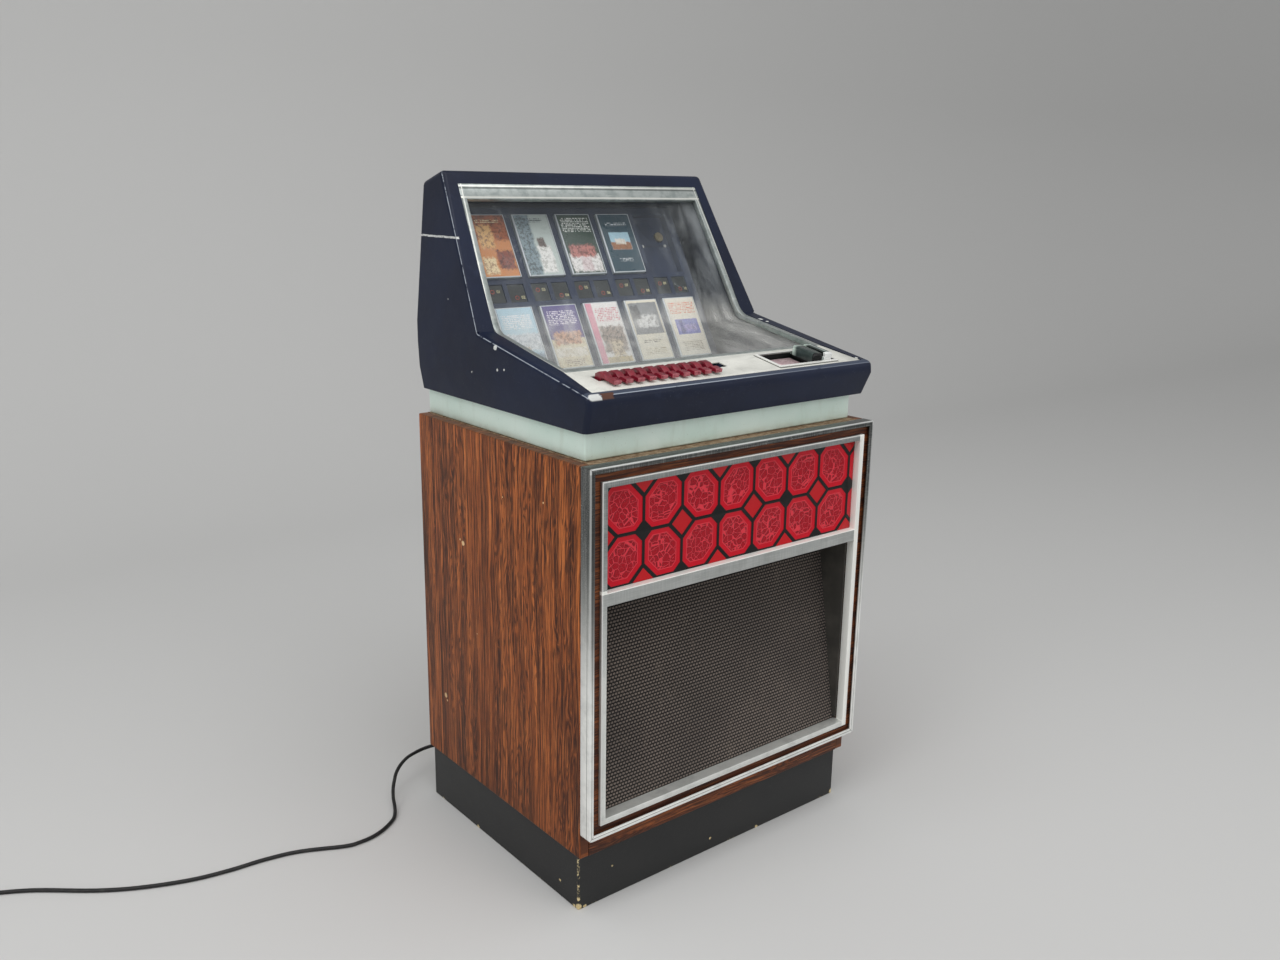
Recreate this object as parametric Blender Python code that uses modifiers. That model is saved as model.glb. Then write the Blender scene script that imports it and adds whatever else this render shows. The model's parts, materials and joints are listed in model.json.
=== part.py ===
"""Floor-standing cassette jukebox, built as an assembly of separate pieces.

Units are metres, +Z is up and -Y is the front. The origin lies under the middle of the cabinet, on the floor.
Depths called "in" run backwards from the front plane of the wooden carcass.
"""

import math

import bmesh
import bpy
from mathutils import Matrix, Vector

# Clearances
seat_gap = 0.0003
running_gap = 0.0008
cut_overrun = 0.010
weld_distance = 0.00001

# Carcass
side_room = 0.062
cabinet_depth = 0.438
carcass_height = 0.580
side_board = 0.016
flat_board = 0.016
laminate_round = 0.0012

# Recessed base
base_height = 0.092
base_board = 0.018
base_front_inset = 0.012
base_side_inset = 0.006
base_back_inset = 0.004

# Front frames
frame_projection = 0.022
frame_lip = 0.008
frame_wall = 0.0025
frame_foot_round = 0.005
rail_height = 0.037
stripe_width = 0.012
stripe_recess = 0.006
inner_lip = 0.009
inner_return = 0.014
crossbar_height = 0.019
light_height = 0.1465

# Light panel and lamp
light_thickness = 0.002
lattice_relief = 0.0010
lattice_bar = 0.0050
lattice_columns = 7.16
lattice_rows = 2
lamp_end_room = 0.0325
lamp_radius = 0.013
lamp_cap_radius = 0.0105
lamp_cap_length = 0.008
lamp_back = 0.044
reflector_depth = 0.060
reflector_sheet = 0.001
reflector_slope = 0.018
holder_thickness = 0.010
holder_height = 0.040

# Speaker opening
grille_lean = math.radians(9.4)
grille_foot_in = -0.002
cloth_thickness = 0.0015
baffle_thickness = 0.012
cheek_thickness = 0.003
speaker_margin = 0.0255
speaker_rim_width = 0.014
speaker_cone_depth = 0.030
speaker_rim = 0.004
speaker_magnet_radius = 0.045
speaker_magnet_depth = 0.022
speaker_depth = 0.078
dust_cap_radius = 0.025

# Inside the cabinet
amplifier_side_room = 0.004
amplifier_width = 0.240
amplifier_depth = 0.150
amplifier_height = 0.070
amplifier_sheet = 0.002
amplifier_slots = 7
amplifier_slot_width = 0.006
transformer_width = 0.075
transformer_depth = 0.062
transformer_height = 0.064
winding_reveal = 0.011
cash_width = 0.120
cash_depth = 0.150
cash_height = 0.140
cash_sheet = 0.002
chute_width = 0.034
chute_depth = 0.024
chute_wall = 0.002
chute_flange = 0.008
chute_flange_thickness = 0.003
coin_path_in = 0.105

# Service door
door_thickness = 0.012
door_knuckle_radius = 0.003
door_pin_radius = 0.0014
door_hinge_length = 0.360
door_knuckle_share = 0.25
leaf_thickness = 0.0015
leaf_width = 0.016
vent_rows = 2
vent_columns = 7
vent_width = 0.040
vent_height = 0.006
vent_pitch = 0.018
lock_radius = 0.0095
lock_face = 0.0030
lock_tongue_length = 0.024
lock_tongue_width = 0.012

# Painted pedestal
pedestal_inset = 0.018
pedestal_front_in = 0.015
pedestal_back_inset = 0.002
pedestal_height = 0.0397
pedestal_wall = 0.012
pedestal_round = 0.003

# Head shell: rises are above the pedestal, rooms are kept to the rack
shell_wall = 0.004
shell_round = 0.010
lip_overhang = 0.0135
lip_rise = 0.0542
chin_foot_overhang = 0.0015
chin_overhang = 0.0150
chin_belly_drop = 0.018
shell_foot_rise = 0.0017
bend_room = 0.0225
bend_rise = 0.1067
bend_radius = 0.033
crest_setback = 0.0565
head_room = 0.0545
crown_drop = 0.018
back_overhang = 0.002
back_tuck = 0.0065
back_belly_rise = 0.0747
head_inset = 0.001
foot_taper = 0.0045
crest_taper = 0.021
chin_side_rise = 0.033
shoulder_rise = 0.108

# Window opening in the shell: how wide a rim it leaves at each side
rim_top = 0.042
rim_bend = 0.029
rim_panel_rear = 0.025
rim_front = 0.014
opening_top_margin = 0.023
opening_front_margin = 0.0105
trim_width = 0.010
trim_top_width = 0.026
trim_sink = 0.0006
trim_depth = 0.0090
window_thickness = 0.003
window_underlap = 0.002

# Control panel, along its own slope from the front edge
panel_length = 0.0800
panel_sink = 0.0012
panel_thickness = 0.0020
strip_width = 0.0080
slot_start = 0.0385
slot_end = 0.0585
slot_rim = 0.0405
slot_tail = 0.0340

# Piano keys
key_count = 10
key_pitch = 0.0202
key_slot_room = 0.0050
key_width = 0.0120
key_front = 0.0115
key_clear = 0.0032
key_block_top = 0.0088
key_block_back = 0.0250
key_dip = 0.0052
key_dip_at = 0.0295
key_hump = 0.0098
key_hump_at = 0.0375
key_hump_back = 0.0480
key_stem_front = 0.0405
key_stem_back = 0.0550
axle_at = 0.0690
axle_drop = 0.0125
axle_radius = 0.0025
axle_play = 0.0002
axle_boss = 0.0058
bracket_sheet = 0.0015
bracket_depth = 0.0200

# Coin unit
coin_rim = 0.047
coin_width = 0.126
coin_start = 0.0090
coin_end = 0.0670
bezel_bar = 0.0045
bezel_proud = 0.0022
tray_depth = 0.0070
tray_wall = 0.0012
entry_room = 0.009
entry_width = 0.041
entry_height = 0.0130
entry_slot_width = 0.0036
entry_slot_length = 0.0300
entry_bar_round = 0.0030
slide_half = 0.015
slide_sheet = 0.0015
slide_lip = 0.0040

# Cassette rack, in its own leaning plane
rack_lean = math.radians(30.0)
rack_foot_rise = 0.0367
bay_columns = 5
bay_pitch = 0.0841
row_gap = 0.0505
case_width = 0.0695
case_height = 0.1090
case_thickness = 0.0170
case_seam = 0.0005
case_seam_width = 0.0006
case_lid_depth = 0.0035
case_round = 0.0010
case_proud = 0.0050
pocket_play = 0.0010
slab_thickness = 0.0150
slab_side_margin = 0.01505
slab_foot_margin = 0.012
slab_head_margin = 0.014
bracket_board = 0.003
bracket_heel_room = 0.018
bracket_head_drop = 0.003
label_width = 0.0310
label_height = 0.0310
label_gap = 0.0080
label_rise = 0.0100
label_sink = 0.0025
thumb_radius = 0.0135
thumb_left = -0.0042
thumb_rise = 0.0885
thumb_depth = 0.0012
rack_lock_right = 0.0168
rack_lock_rise = 0.0715
rack_lock_radius = 0.0085

# Player unit behind the rack
player_half = 0.160
player_front_room = 0.095
player_back_room = 0.016
player_height = 0.070
player_sheet = 0.002
spindle_radius = 0.0035
spindle_height = 0.0080

# Lid hinge
lid_knuckle_radius = 0.0030
lid_pin_radius = 0.0014
lid_knuckle_half = 0.060
lid_pin_reach = 0.040
lid_leaf_height = 0.020

# Mains lead
cord_diameter = 0.0060
cord_step = 0.0145
gland_length = 0.035
gland_radius = 0.0075
gland_tip_radius = 0.0042
gland_flange_radius = 0.011
gland_flange = 0.003
gland_x = -0.222
gland_height = 0.052
coil_middle_radius = 0.036
coil_layer_turns = 3.5
turn_points = 24
coil_pitch = 0.0068
coil_end_run = 0.040
plug_neck_length = 0.014
plug_neck_tip = 0.0042
plug_neck_root = 0.0080
plug_width = 0.024
plug_body_length = 0.028
plug_round = 0.003
blade_length = 0.017
blade_width = 0.0063
blade_thickness = 0.0015
blade_spacing = 0.0127

# Facets
round_steps = 24
small_steps = 16

# Derived places
slab_half = (bay_columns - 1) / 2 * bay_pitch + case_width / 2 + slab_side_margin
half_width = slab_half + side_room
shell_back_in = cabinet_depth + back_overhang
rear_reach = shell_back_in + seat_gap + 2 * lid_knuckle_radius
wood_front = frame_projection - (frame_projection + rear_reach) / 2
carcass_foot = base_height + seat_gap
carcass_top = base_height + carcass_height
pedestal_foot = carcass_top + seat_gap
pedestal_top = pedestal_foot + pedestal_height
pedestal_back_in = cabinet_depth - pedestal_back_inset
frame_foot = base_height + rail_height
opening_half = half_width - frame_lip - stripe_width - inner_lip
opening_top = carcass_top - frame_lip - stripe_width - inner_lip
opening_foot = frame_foot + frame_lip + stripe_width + inner_lip
crossbar_top = opening_top - light_height
crossbar_foot = crossbar_top - crossbar_height
lamp_length = 2 * (opening_half - lamp_end_room)
speaker_spacing = opening_half
speaker_radius = opening_half / 2 - speaker_margin
speaker_cone_radius = speaker_radius - speaker_rim_width

# Derived places on the rack and the head
row_rise = case_height + row_gap
rack_rise = row_rise + case_height + slab_head_margin
rack_back_in = shell_back_in - shell_wall - seat_gap
rack_head_in = rack_back_in - (case_proud + slab_thickness) * math.cos(rack_lean)
rack_foot_in = rack_head_in - rack_rise * math.sin(rack_lean)
rack_foot_height = pedestal_top + rack_foot_rise
rack_top_height = rack_foot_height + rack_rise * math.cos(rack_lean)
bend_in = rack_foot_in - bend_room
bend_height = pedestal_top + bend_rise
crest_in = shell_back_in - crest_setback
crest_height = rack_top_height + head_room
lip_height = pedestal_top + lip_rise
shell_foot_height = pedestal_top + shell_foot_rise
shell_belly_height = pedestal_top + back_belly_rise
half_at_belly = half_width - head_inset
half_at_foot = half_at_belly - foot_taper
half_at_crest = half_at_belly - crest_taper
opening_half_front = half_at_belly - rim_front
opening_half_panel_rear = half_at_belly - rim_panel_rear
opening_half_bend = half_at_belly - rim_bend
opening_half_top = half_at_belly - rim_top
slot_left = -opening_half_front + slot_rim
key_first_left = slot_left + key_slot_room
slot_right = key_first_left + key_count * key_pitch + slot_tail - key_slot_room
coin_right = opening_half_front - coin_rim
coin_left = coin_right - coin_width
entry_right = coin_right - entry_room
entry_left = entry_right - entry_width
entry_middle = (entry_left + entry_right) / 2
lower_slope = math.atan2(bend_height - lip_height, bend_in + lip_overhang)
upper_slope = math.atan2(crest_in - bend_in, crest_height - bend_height)

parts = bpy.data.collections.new("cassette_jukebox")
cutters = bpy.data.collections.new("cutters")


def depth_in(distance):
    """World Y of a place this far behind the carcass front."""
    return wood_front + distance


def make_material(name, color, roughness, metallic):
    material = bpy.data.materials.new(name)
    material.use_nodes = True
    shader = material.node_tree.nodes["Principled BSDF"]
    shader.inputs["Base Color"].default_value = (*color, 1.0)
    shader.inputs["Roughness"].default_value = roughness
    shader.inputs["Metallic"].default_value = metallic
    material.diffuse_color = (*color, 1.0)
    return material


def make_materials():
    table = {
        "rosewood": ((0.25, 0.10, 0.04), 0.45, 0.0),
        "walnut": ((0.10, 0.05, 0.03), 0.40, 0.0),
        "raw_board": ((0.45, 0.33, 0.20), 0.80, 0.0),
        "base_black": ((0.02, 0.02, 0.02), 0.60, 0.0),
        "aluminium": ((0.62, 0.63, 0.62), 0.30, 1.0),
        "red_acrylic": ((0.60, 0.02, 0.06), 0.25, 0.0),
        "lattice_black": ((0.01, 0.01, 0.01), 0.50, 0.0),
        "grille_cloth": ((0.07, 0.06, 0.05), 0.90, 0.0),
        "dark_board": ((0.03, 0.03, 0.03), 0.85, 0.0),
        "lamp_glass": ((0.90, 0.90, 0.88), 0.20, 0.0),
        "white_enamel": ((0.85, 0.85, 0.83), 0.40, 0.0),
        "black_paper": ((0.03, 0.03, 0.03), 0.80, 0.0),
        "grey_steel": ((0.35, 0.36, 0.37), 0.40, 1.0),
        "mint_paint": ((0.60, 0.72, 0.64), 0.45, 0.0),
        "navy_shell": ((0.02, 0.03, 0.06), 0.40, 0.0),
        "clear_acrylic": ((0.90, 0.95, 0.95), 0.05, 0.0),
        "panel_white": ((0.66, 0.66, 0.62), 0.45, 0.0),
        "key_red": ((0.25, 0.01, 0.04), 0.35, 0.0),
        "chrome": ((0.75, 0.76, 0.77), 0.12, 1.0),
        "rack_navy": ((0.02, 0.03, 0.06), 0.55, 0.0),
        "label_dark": ((0.03, 0.03, 0.03), 0.30, 0.0),
        "card_stock": ((0.75, 0.70, 0.60), 0.60, 0.0),
        "brass": ((0.75, 0.65, 0.38), 0.35, 1.0),
        "cord_rubber": ((0.01, 0.01, 0.01), 0.55, 0.0),
    }
    return {name: make_material(name, *values) for name, values in table.items()}


def frame_matrix(origin, x_axis, y_axis):
    """Matrix whose local X and Y follow the given axes, with Z square to both."""
    x_axis = Vector(x_axis).normalized()
    y_axis = Vector(y_axis).normalized()
    z_axis = x_axis.cross(y_axis)
    matrix = Matrix((x_axis, y_axis, z_axis)).transposed().to_4x4()
    matrix.translation = Vector(origin)
    return matrix


def add_box(bm, low, high):
    """A box between two corners, from a unit cube."""
    low, high = Vector(low), Vector(high)
    size = high - low
    place = Matrix.Translation((low + high) / 2) @ Matrix.Diagonal((*size, 1.0))
    return bmesh.ops.create_cube(bm, size=1.0, matrix=place)


def add_cylinder(bm, centre, axis, radius, length, steps=round_steps, end_radius=None):
    """A capped cylinder or cone centred on a point, along a named axis."""
    turn = {"X": Matrix.Rotation(math.pi / 2, 4, "Y"), "Y": Matrix.Rotation(-math.pi / 2, 4, "X"),
            "Z": Matrix.Identity(4)}[axis]
    top = radius if end_radius is None else end_radius
    return bmesh.ops.create_cone(bm, cap_ends=True, segments=steps, radius1=radius, radius2=top, depth=length,
                                 matrix=Matrix.Translation(Vector(centre)) @ turn)


def finish_mesh(bm, name, material, frame=None, collection=parts):
    mesh = bpy.data.meshes.new(name)
    bmesh.ops.recalc_face_normals(bm, faces=bm.faces)
    bm.to_mesh(mesh)
    bm.free()
    mesh.materials.append(material)
    item = bpy.data.objects.new(name, mesh)
    item.matrix_world = frame if frame is not None else Matrix.Identity(4)
    collection.objects.link(item)
    return item


def shade_round(item, angle=math.radians(35)):
    item.data.shade_smooth()
    item.data.set_sharp_from_angle(angle=angle)
    return item


def block(name, low, high, material, frame=None, collection=parts):
    bm = bmesh.new()
    add_box(bm, low, high)
    return finish_mesh(bm, name, material, frame, collection)


def cylinder(name, centre, axis, radius, length, material, frame=None, collection=parts, steps=round_steps):
    bm = bmesh.new()
    add_cylinder(bm, centre, axis, radius, length, steps)
    return shade_round(finish_mesh(bm, name, material, frame, collection))


def flat_outline(name, loops, thickness, frame, material, collection=parts):
    """A flat sheet from closed outlines in the frame's XY plane, centred on Z; later outlines are holes."""
    curve = bpy.data.curves.new(name, "CURVE")
    curve.dimensions = "2D"
    curve.fill_mode = "BOTH"
    curve.extrude = thickness / 2
    for loop in loops:
        spline = curve.splines.new("POLY")
        spline.points.add(len(loop) - 1)
        spline.use_cyclic_u = True
        for point, (x, y) in zip(spline.points, loop):
            point.co = (x, y, 0.0, 1.0)
    guide = bpy.data.objects.new(name + "_outline", curve)
    bpy.context.scene.collection.objects.link(guide)
    guide.matrix_world = frame
    bpy.context.view_layer.update()
    graph = bpy.context.evaluated_depsgraph_get()
    mesh = bpy.data.meshes.new_from_object(guide.evaluated_get(graph))
    bm = bmesh.new()
    bm.from_mesh(mesh)
    bmesh.ops.remove_doubles(bm, verts=bm.verts, dist=weld_distance)
    bpy.data.meshes.remove(mesh)
    bpy.data.objects.remove(guide)
    return finish_mesh(bm, name, material, frame, collection)


def apply_boolean(item, tool, operation):
    cut = item.modifiers.new(tool.name, "BOOLEAN")
    cut.operation = operation
    cut.object = tool
    cut.solver = "EXACT"
    tool.hide_render = True
    tool.display_type = "WIRE"


def cut_out(item, *tools):
    for tool in tools:
        apply_boolean(item, tool, "DIFFERENCE")
    return item


def join_to(item, *tools):
    for tool in tools:
        apply_boolean(item, tool, "UNION")
    return item


def round_edges(item, width, segments=2, angle=math.radians(40)):
    bevel = item.modifiers.new("round", "BEVEL")
    bevel.width = width
    bevel.segments = segments
    bevel.limit_method = "ANGLE"
    bevel.angle_limit = angle
    return item


def rectangle(left, right, low, high):
    return [(left, low), (right, low), (right, high), (left, high)]


def circle_points(centre_x, centre_y, radius, steps=round_steps):
    return [(centre_x + radius * math.cos(2 * math.pi * i / steps),
             centre_y + radius * math.sin(2 * math.pi * i / steps)) for i in range(steps)]


def front_frame(distance_in):
    """Local X runs right, local Y up and local Z forwards; Z = 0 lies this far in."""
    return frame_matrix((0.0, depth_in(distance_in), 0.0), (1, 0, 0), (0, 0, 1))


def side_frame(x):
    """Local X runs backwards, local Y up and local Z right."""
    return frame_matrix((x, 0.0, 0.0), (0, 1, 0), (0, 0, 1))


def plan_frame(z):
    return Matrix.Translation((0.0, 0.0, z))


def leaning_frame(origin, lean):
    """A plane that leans back from upright: local Y climbs it and local Z faces the viewer."""
    return frame_matrix(origin, (1, 0, 0), (0, math.sin(lean), math.cos(lean)))


def turned(name, profile, frame, material, steps=round_steps):
    """A turned piece: its profile is (radius, height) down the outer side, about the frame's Z."""
    mesh = bpy.data.meshes.new(name)
    bm = bmesh.new()
    points = [bm.verts.new((radius, 0.0, height)) for radius, height in profile]
    for first, second in zip(points, points[1:]):
        bm.edges.new((first, second))
    bm.to_mesh(mesh)
    bm.free()
    mesh.materials.append(material)
    item = bpy.data.objects.new(name, mesh)
    item.matrix_world = frame
    parts.objects.link(item)
    screw = item.modifiers.new("turn", "SCREW")
    screw.axis = "Z"
    screw.steps = steps
    screw.render_steps = steps
    screw.use_merge_vertices = True
    screw.merge_threshold = weld_distance
    screw.use_smooth_shade = True
    return item


def offset_outline(points, distance):
    """Moves every side of a closed outline to its left by a distance and meets them again at the corners."""
    moved = []
    count = len(points)
    for i in range(count):
        before, here, after = (Vector(points[(i + k) % count]) for k in (-1, 0, 1))
        first = (here - before).normalized()
        second = (after - here).normalized()
        first_normal = Vector((-first.y, first.x))
        second_normal = Vector((-second.y, second.x))
        scale = 1.0 + first_normal.dot(second_normal)
        moved.append(tuple(here + (first_normal + second_normal) * (distance / scale)))
    return moved


def arc_between(start, corner, end, radius, steps):
    """Replaces the corner between two straight runs by an arc of the given radius."""
    start, corner, end = Vector(start), Vector(corner), Vector(end)
    first = (start - corner).normalized()
    second = (end - corner).normalized()
    half_angle = first.angle(second) / 2
    reach = radius / math.tan(half_angle)
    centre = corner + (first + second).normalized() * (radius / math.sin(half_angle))
    low = corner + first * reach - centre
    high = corner + second * reach - centre
    turn = low.angle_signed(high)
    points = []
    for i in range(steps + 1):
        share = -turn * i / steps
        points.append((centre.x + low.x * math.cos(share) - low.y * math.sin(share),
                       centre.y + low.x * math.sin(share) + low.y * math.cos(share)))
    return points


def interpolate(table, value):
    """Straight-line reading of a table of (value, result) pairs."""
    if value <= table[0][0]:
        return table[0][1]
    for (low, low_result), (high, high_result) in zip(table, table[1:]):
        if value <= high:
            return low_result + (high_result - low_result) * (value - low) / (high - low)
    return table[-1][1]


def tapered_prism(name, outline, half_table, material, collection=parts):
    """A solid with a side outline of (in, height) points, whose half width follows the height."""
    bm = bmesh.new()
    ring = [bm.verts.new((0.0, depth_in(y), z)) for y, z in outline]
    face = bm.faces.new(ring)
    grown = bmesh.ops.extrude_face_region(bm, geom=[face])
    outer = [v for v in grown["geom"] if isinstance(v, bmesh.types.BMVert)]
    bmesh.ops.translate(bm, verts=outer, vec=(half_width, 0.0, 0.0))
    bmesh.ops.delete(bm, geom=[f for f in bm.faces if all(abs(v.co.x) < seat_gap for v in f.verts)],
                     context="FACES_ONLY")
    low = min(z for y, z in outline)
    high = max(z for y, z in outline)
    for height, _ in half_table:
        if low < height < high:
            bmesh.ops.bisect_plane(bm, geom=bm.verts[:] + bm.edges[:] + bm.faces[:], dist=weld_distance,
                                   plane_co=(0.0, 0.0, height), plane_no=(0.0, 0.0, 1.0))
    for vert in bm.verts:
        if vert.co.x > seat_gap:
            vert.co.x = interpolate(half_table, vert.co.z)
    item = finish_mesh(bm, name, material, collection=collection)
    mirror = item.modifiers.new("mirror", "MIRROR")
    mirror.merge_threshold = weld_distance
    return item


def run_on(start, end, drop):
    """Carries a straight run on past its lower end by a drop in height."""
    share = drop / (start[1] - end[1])
    return end[0] + (end[0] - start[0]) * share, end[1] - drop


def shell_outline(drop):
    """The head's side view, from the chin round to the back, carried on below its foot by a drop."""
    lip = (-lip_overhang, lip_height)
    bend = (bend_in, bend_height)
    crest = (crest_in, crest_height)
    belly = (-chin_overhang, lip_height - chin_belly_drop)
    back_belly = (shell_back_in, shell_belly_height)
    return [
        run_on(belly, (-chin_foot_overhang, shell_foot_height), drop),
        run_on(back_belly, (shell_back_in - back_tuck, shell_foot_height), drop),
        back_belly,
        (shell_back_in, crest_height - crown_drop),
        crest,
        *reversed(arc_between(lip, bend, crest, bend_radius, 6)),
        lip,
        belly,
    ]


def shell_half_table(wall=0.0):
    return [(shell_foot_height, half_at_foot - wall), (pedestal_top + chin_side_rise, half_at_belly - wall),
            (pedestal_top + shoulder_rise, half_at_belly - wall), (crest_height, half_at_crest - wall)]


def slope_point(distance_up, depth):
    """A place on the upper slope, this far up from the bend corner and this deep under the surface."""
    along = Vector((math.sin(upper_slope), math.cos(upper_slope)))
    inward = Vector((math.cos(upper_slope), -math.sin(upper_slope)))
    return Vector((bend_in, bend_height)) + along * distance_up + inward * depth


def lower_point(distance_up, depth):
    """A place on the lower slope, this far up from the lip and this deep under the surface."""
    along = Vector((math.cos(lower_slope), math.sin(lower_slope)))
    inward = Vector((math.sin(lower_slope), -math.cos(lower_slope)))
    return Vector((-lip_overhang, lip_height)) + along * distance_up + inward * depth


upper_length = math.hypot(crest_in - bend_in, crest_height - bend_height)
lower_length = math.hypot(bend_in - -lip_overhang, bend_height - lip_height)
opening_top_up = upper_length - opening_top_margin
panel_start = opening_front_margin + seat_gap
panel_end = panel_start + panel_length
trim_start = panel_end + seat_gap


def bent_slab(start_along, end_up, top_depth, bottom_depth):
    """Outline of a sheet that follows the lower slope, the bend and the upper slope at a depth."""
    def course(depth):
        start = lower_point(start_along, depth)
        end = slope_point(end_up, depth)
        far_low = lower_point(lower_length, depth)
        far_high = slope_point(0.0, depth)
        corner = meet_lines(start, far_low, far_high, end)
        return [tuple(start), *arc_between(start, corner, end, bend_radius - depth, 6), tuple(end)]
    return course(top_depth) + list(reversed(course(bottom_depth)))


def meet_lines(a, b, c, d):
    """Where the line through a and b crosses the line through c and d."""
    first = b - a
    second = d - c
    share = (c - a).cross(second) / first.cross(second)
    return a + first * share


def opening_half_table(shrink=0.0):
    panel_rear_height = lower_point(panel_end, 0.0).y
    return [(lip_height, opening_half_front - shrink), (panel_rear_height, opening_half_panel_rear - shrink),
            (bend_height, opening_half_bend - shrink),
            (slope_point(opening_top_up, 0.0).y, opening_half_top - shrink)]


def panel_frame(sink=0.0):
    """The control panel's plane: local Y climbs from its front edge, local Z points out."""
    place = lower_point(panel_start, sink)
    return leaning_frame((0.0, depth_in(place.x), place.y), math.pi / 2 - lower_slope)


def make_base(look):
    half = half_width - base_side_inset
    front = depth_in(base_front_inset)
    back = depth_in(cabinet_depth - base_back_inset)
    outer = rectangle(-half, half, front, back)
    inner = rectangle(-half + base_board, half - base_board, front + base_board, back - base_board)
    return flat_outline("base_frame", [outer, inner], base_height, plan_frame(base_height / 2),
                        look["base_black"])


def make_carcass(look):
    inner = half_width - side_board
    back = depth_in(cabinet_depth)
    for side, name in ((-1, "side_panel_left"), (1, "side_panel_right")):
        low, high = sorted((side * half_width, side * inner))
        panel = block(name, (low, wood_front, carcass_foot), (high, back, carcass_top), look["rosewood"])
        round_edges(panel, laminate_round, 1)
    fit = inner - seat_gap
    rail_back = depth_in(side_board)
    block("front_rail", (-fit, wood_front, carcass_foot), (fit, rail_back, frame_foot), look["rosewood"])
    block("bottom_board", (-fit, rail_back + seat_gap, carcass_foot), (fit, back, carcass_foot + flat_board),
          look["raw_board"])
    top = block("top_board", (-fit, wood_front, carcass_top - flat_board), (fit, back, carcass_top),
                look["raw_board"])
    hole = block("top_board_coin_hole", coin_hole(-1, carcass_top - flat_board), coin_hole(1, carcass_top),
                 look["raw_board"], collection=cutters)
    cut_out(top, hole)


def coin_hole(side, z):
    """Corner of the hole that the coin chute passes through, with clearance all round."""
    return (entry_middle + side * (chute_width / 2 + running_gap), depth_in(coin_path_in)
            + side * (chute_depth / 2 + running_gap), z + side * cut_overrun)


def make_outer_frame(look):
    frame = front_frame(-frame_projection / 2 - seat_gap / 2)
    depth = frame_projection - seat_gap
    outer = rectangle(-half_width, half_width, frame_foot, carcass_top)
    corner = frame_foot_round
    steps = 3
    for side in (1, -1):
        centre = (side * (half_width - corner), frame_foot + corner)
        swept = [(centre[0] + side * corner * math.sin(math.pi / 2 * i / steps),
                  centre[1] - corner * math.cos(math.pi / 2 * i / steps)) for i in range(steps + 1)]
        if side == 1:
            outer[1:2] = swept
        else:
            outer[0:1] = list(reversed(swept))
    inset = frame_lip
    through = rectangle(-half_width + inset, half_width - inset, frame_foot + inset, carcass_top - inset)
    body = flat_outline("outer_frame", [outer, through], depth, frame, look["aluminium"])
    wall = frame_wall
    pocket = block("outer_frame_pocket",
                   (-half_width + wall, depth_in(-frame_projection + wall), frame_foot + wall),
                   (half_width - wall, depth_in(cut_overrun), carcass_top - wall), look["aluminium"],
                   collection=cutters)
    return cut_out(body, pocket)


def make_fascia(look):
    outset = frame_wall + seat_gap
    outer = rectangle(-half_width + outset, half_width - outset, frame_foot + outset, carcass_top - outset)
    clear = frame_wall + seat_gap
    hole = rectangle(-opening_half - clear, opening_half + clear, opening_foot - clear, opening_top + clear)
    front = -frame_projection + stripe_recess
    back = -seat_gap
    return flat_outline("walnut_fascia", [outer, hole], back - front, front_frame((front + back) / 2),
                        look["walnut"])


def make_inner_frame(look):
    light = rectangle(-opening_half, opening_half, crossbar_top, opening_top)
    grille = rectangle(-opening_half, opening_half, opening_foot, crossbar_foot)
    lip = rectangle(-opening_half - inner_lip, opening_half + inner_lip, opening_foot - inner_lip,
                    opening_top + inner_lip)
    lip_depth = stripe_recess - seat_gap
    face = flat_outline("inner_frame", [lip, light, grille], lip_depth,
                        front_frame(-frame_projection + lip_depth / 2), look["aluminium"])
    wall = frame_wall
    ring = rectangle(-opening_half - wall, opening_half + wall, opening_foot - wall, opening_top + wall)
    back = flat_outline("inner_frame_return", [ring, light, grille], inner_return - wall / 2,
                        front_frame(-frame_projection + (inner_return + wall / 2) / 2), look["aluminium"],
                        cutters)
    sill = block("inner_frame_sill", (-opening_half, depth_in(-frame_projection + inner_return - wall),
                                      opening_foot - wall),
                 (opening_half, depth_in(grille_foot_in - seat_gap), opening_foot), look["aluminium"],
                 collection=cutters)
    return join_to(face, back, sill)


def octagon(left, low, width, height, corner_cuts):
    """An outline with its four corners cut: low left, low right, high right, high left."""
    ll, lr, hr, hl = corner_cuts
    right, high = left + width, low + height
    return [(left + ll, low), (right - lr, low), (right, low + lr), (right, high - hr), (right - hr, high),
            (left + hl, high), (left, high - hl), (left, low + ll)]


large_cut_share = 0.32
small_cut_share = 0.17


def lattice_loops(left, right, low, high):
    """Holes of the lattice: octagons with unlike corners in two rows, and the diamonds between them."""
    pitch_x = (right - left) / lattice_columns
    pitch_y = (high - low) / lattice_rows
    width, height = pitch_x - lattice_bar, pitch_y - lattice_bar
    loops = []
    for row in range(lattice_rows):
        for column in range(int(lattice_columns)):
            odd = (row + column) % 2
            big, small = large_cut_share * pitch_x, small_cut_share * pitch_x
            cuts = (small, big, small, big) if odd == 0 else (big, small, big, small)
            x = left + lattice_bar / 2 + column * pitch_x
            y = low + lattice_bar / 2 + row * pitch_y
            loops.append(octagon(x, y, width, height, cuts))
    middle = (low + high) / 2
    reach = large_cut_share * pitch_x - lattice_bar / math.sqrt(2)
    for column in range(1, int(lattice_columns)):
        if column % 2 == 1:
            continue
        x = left + column * pitch_x
        loops.append([(x - reach, middle), (x, middle - reach), (x + reach, middle), (x, middle + reach)])
    return loops


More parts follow.
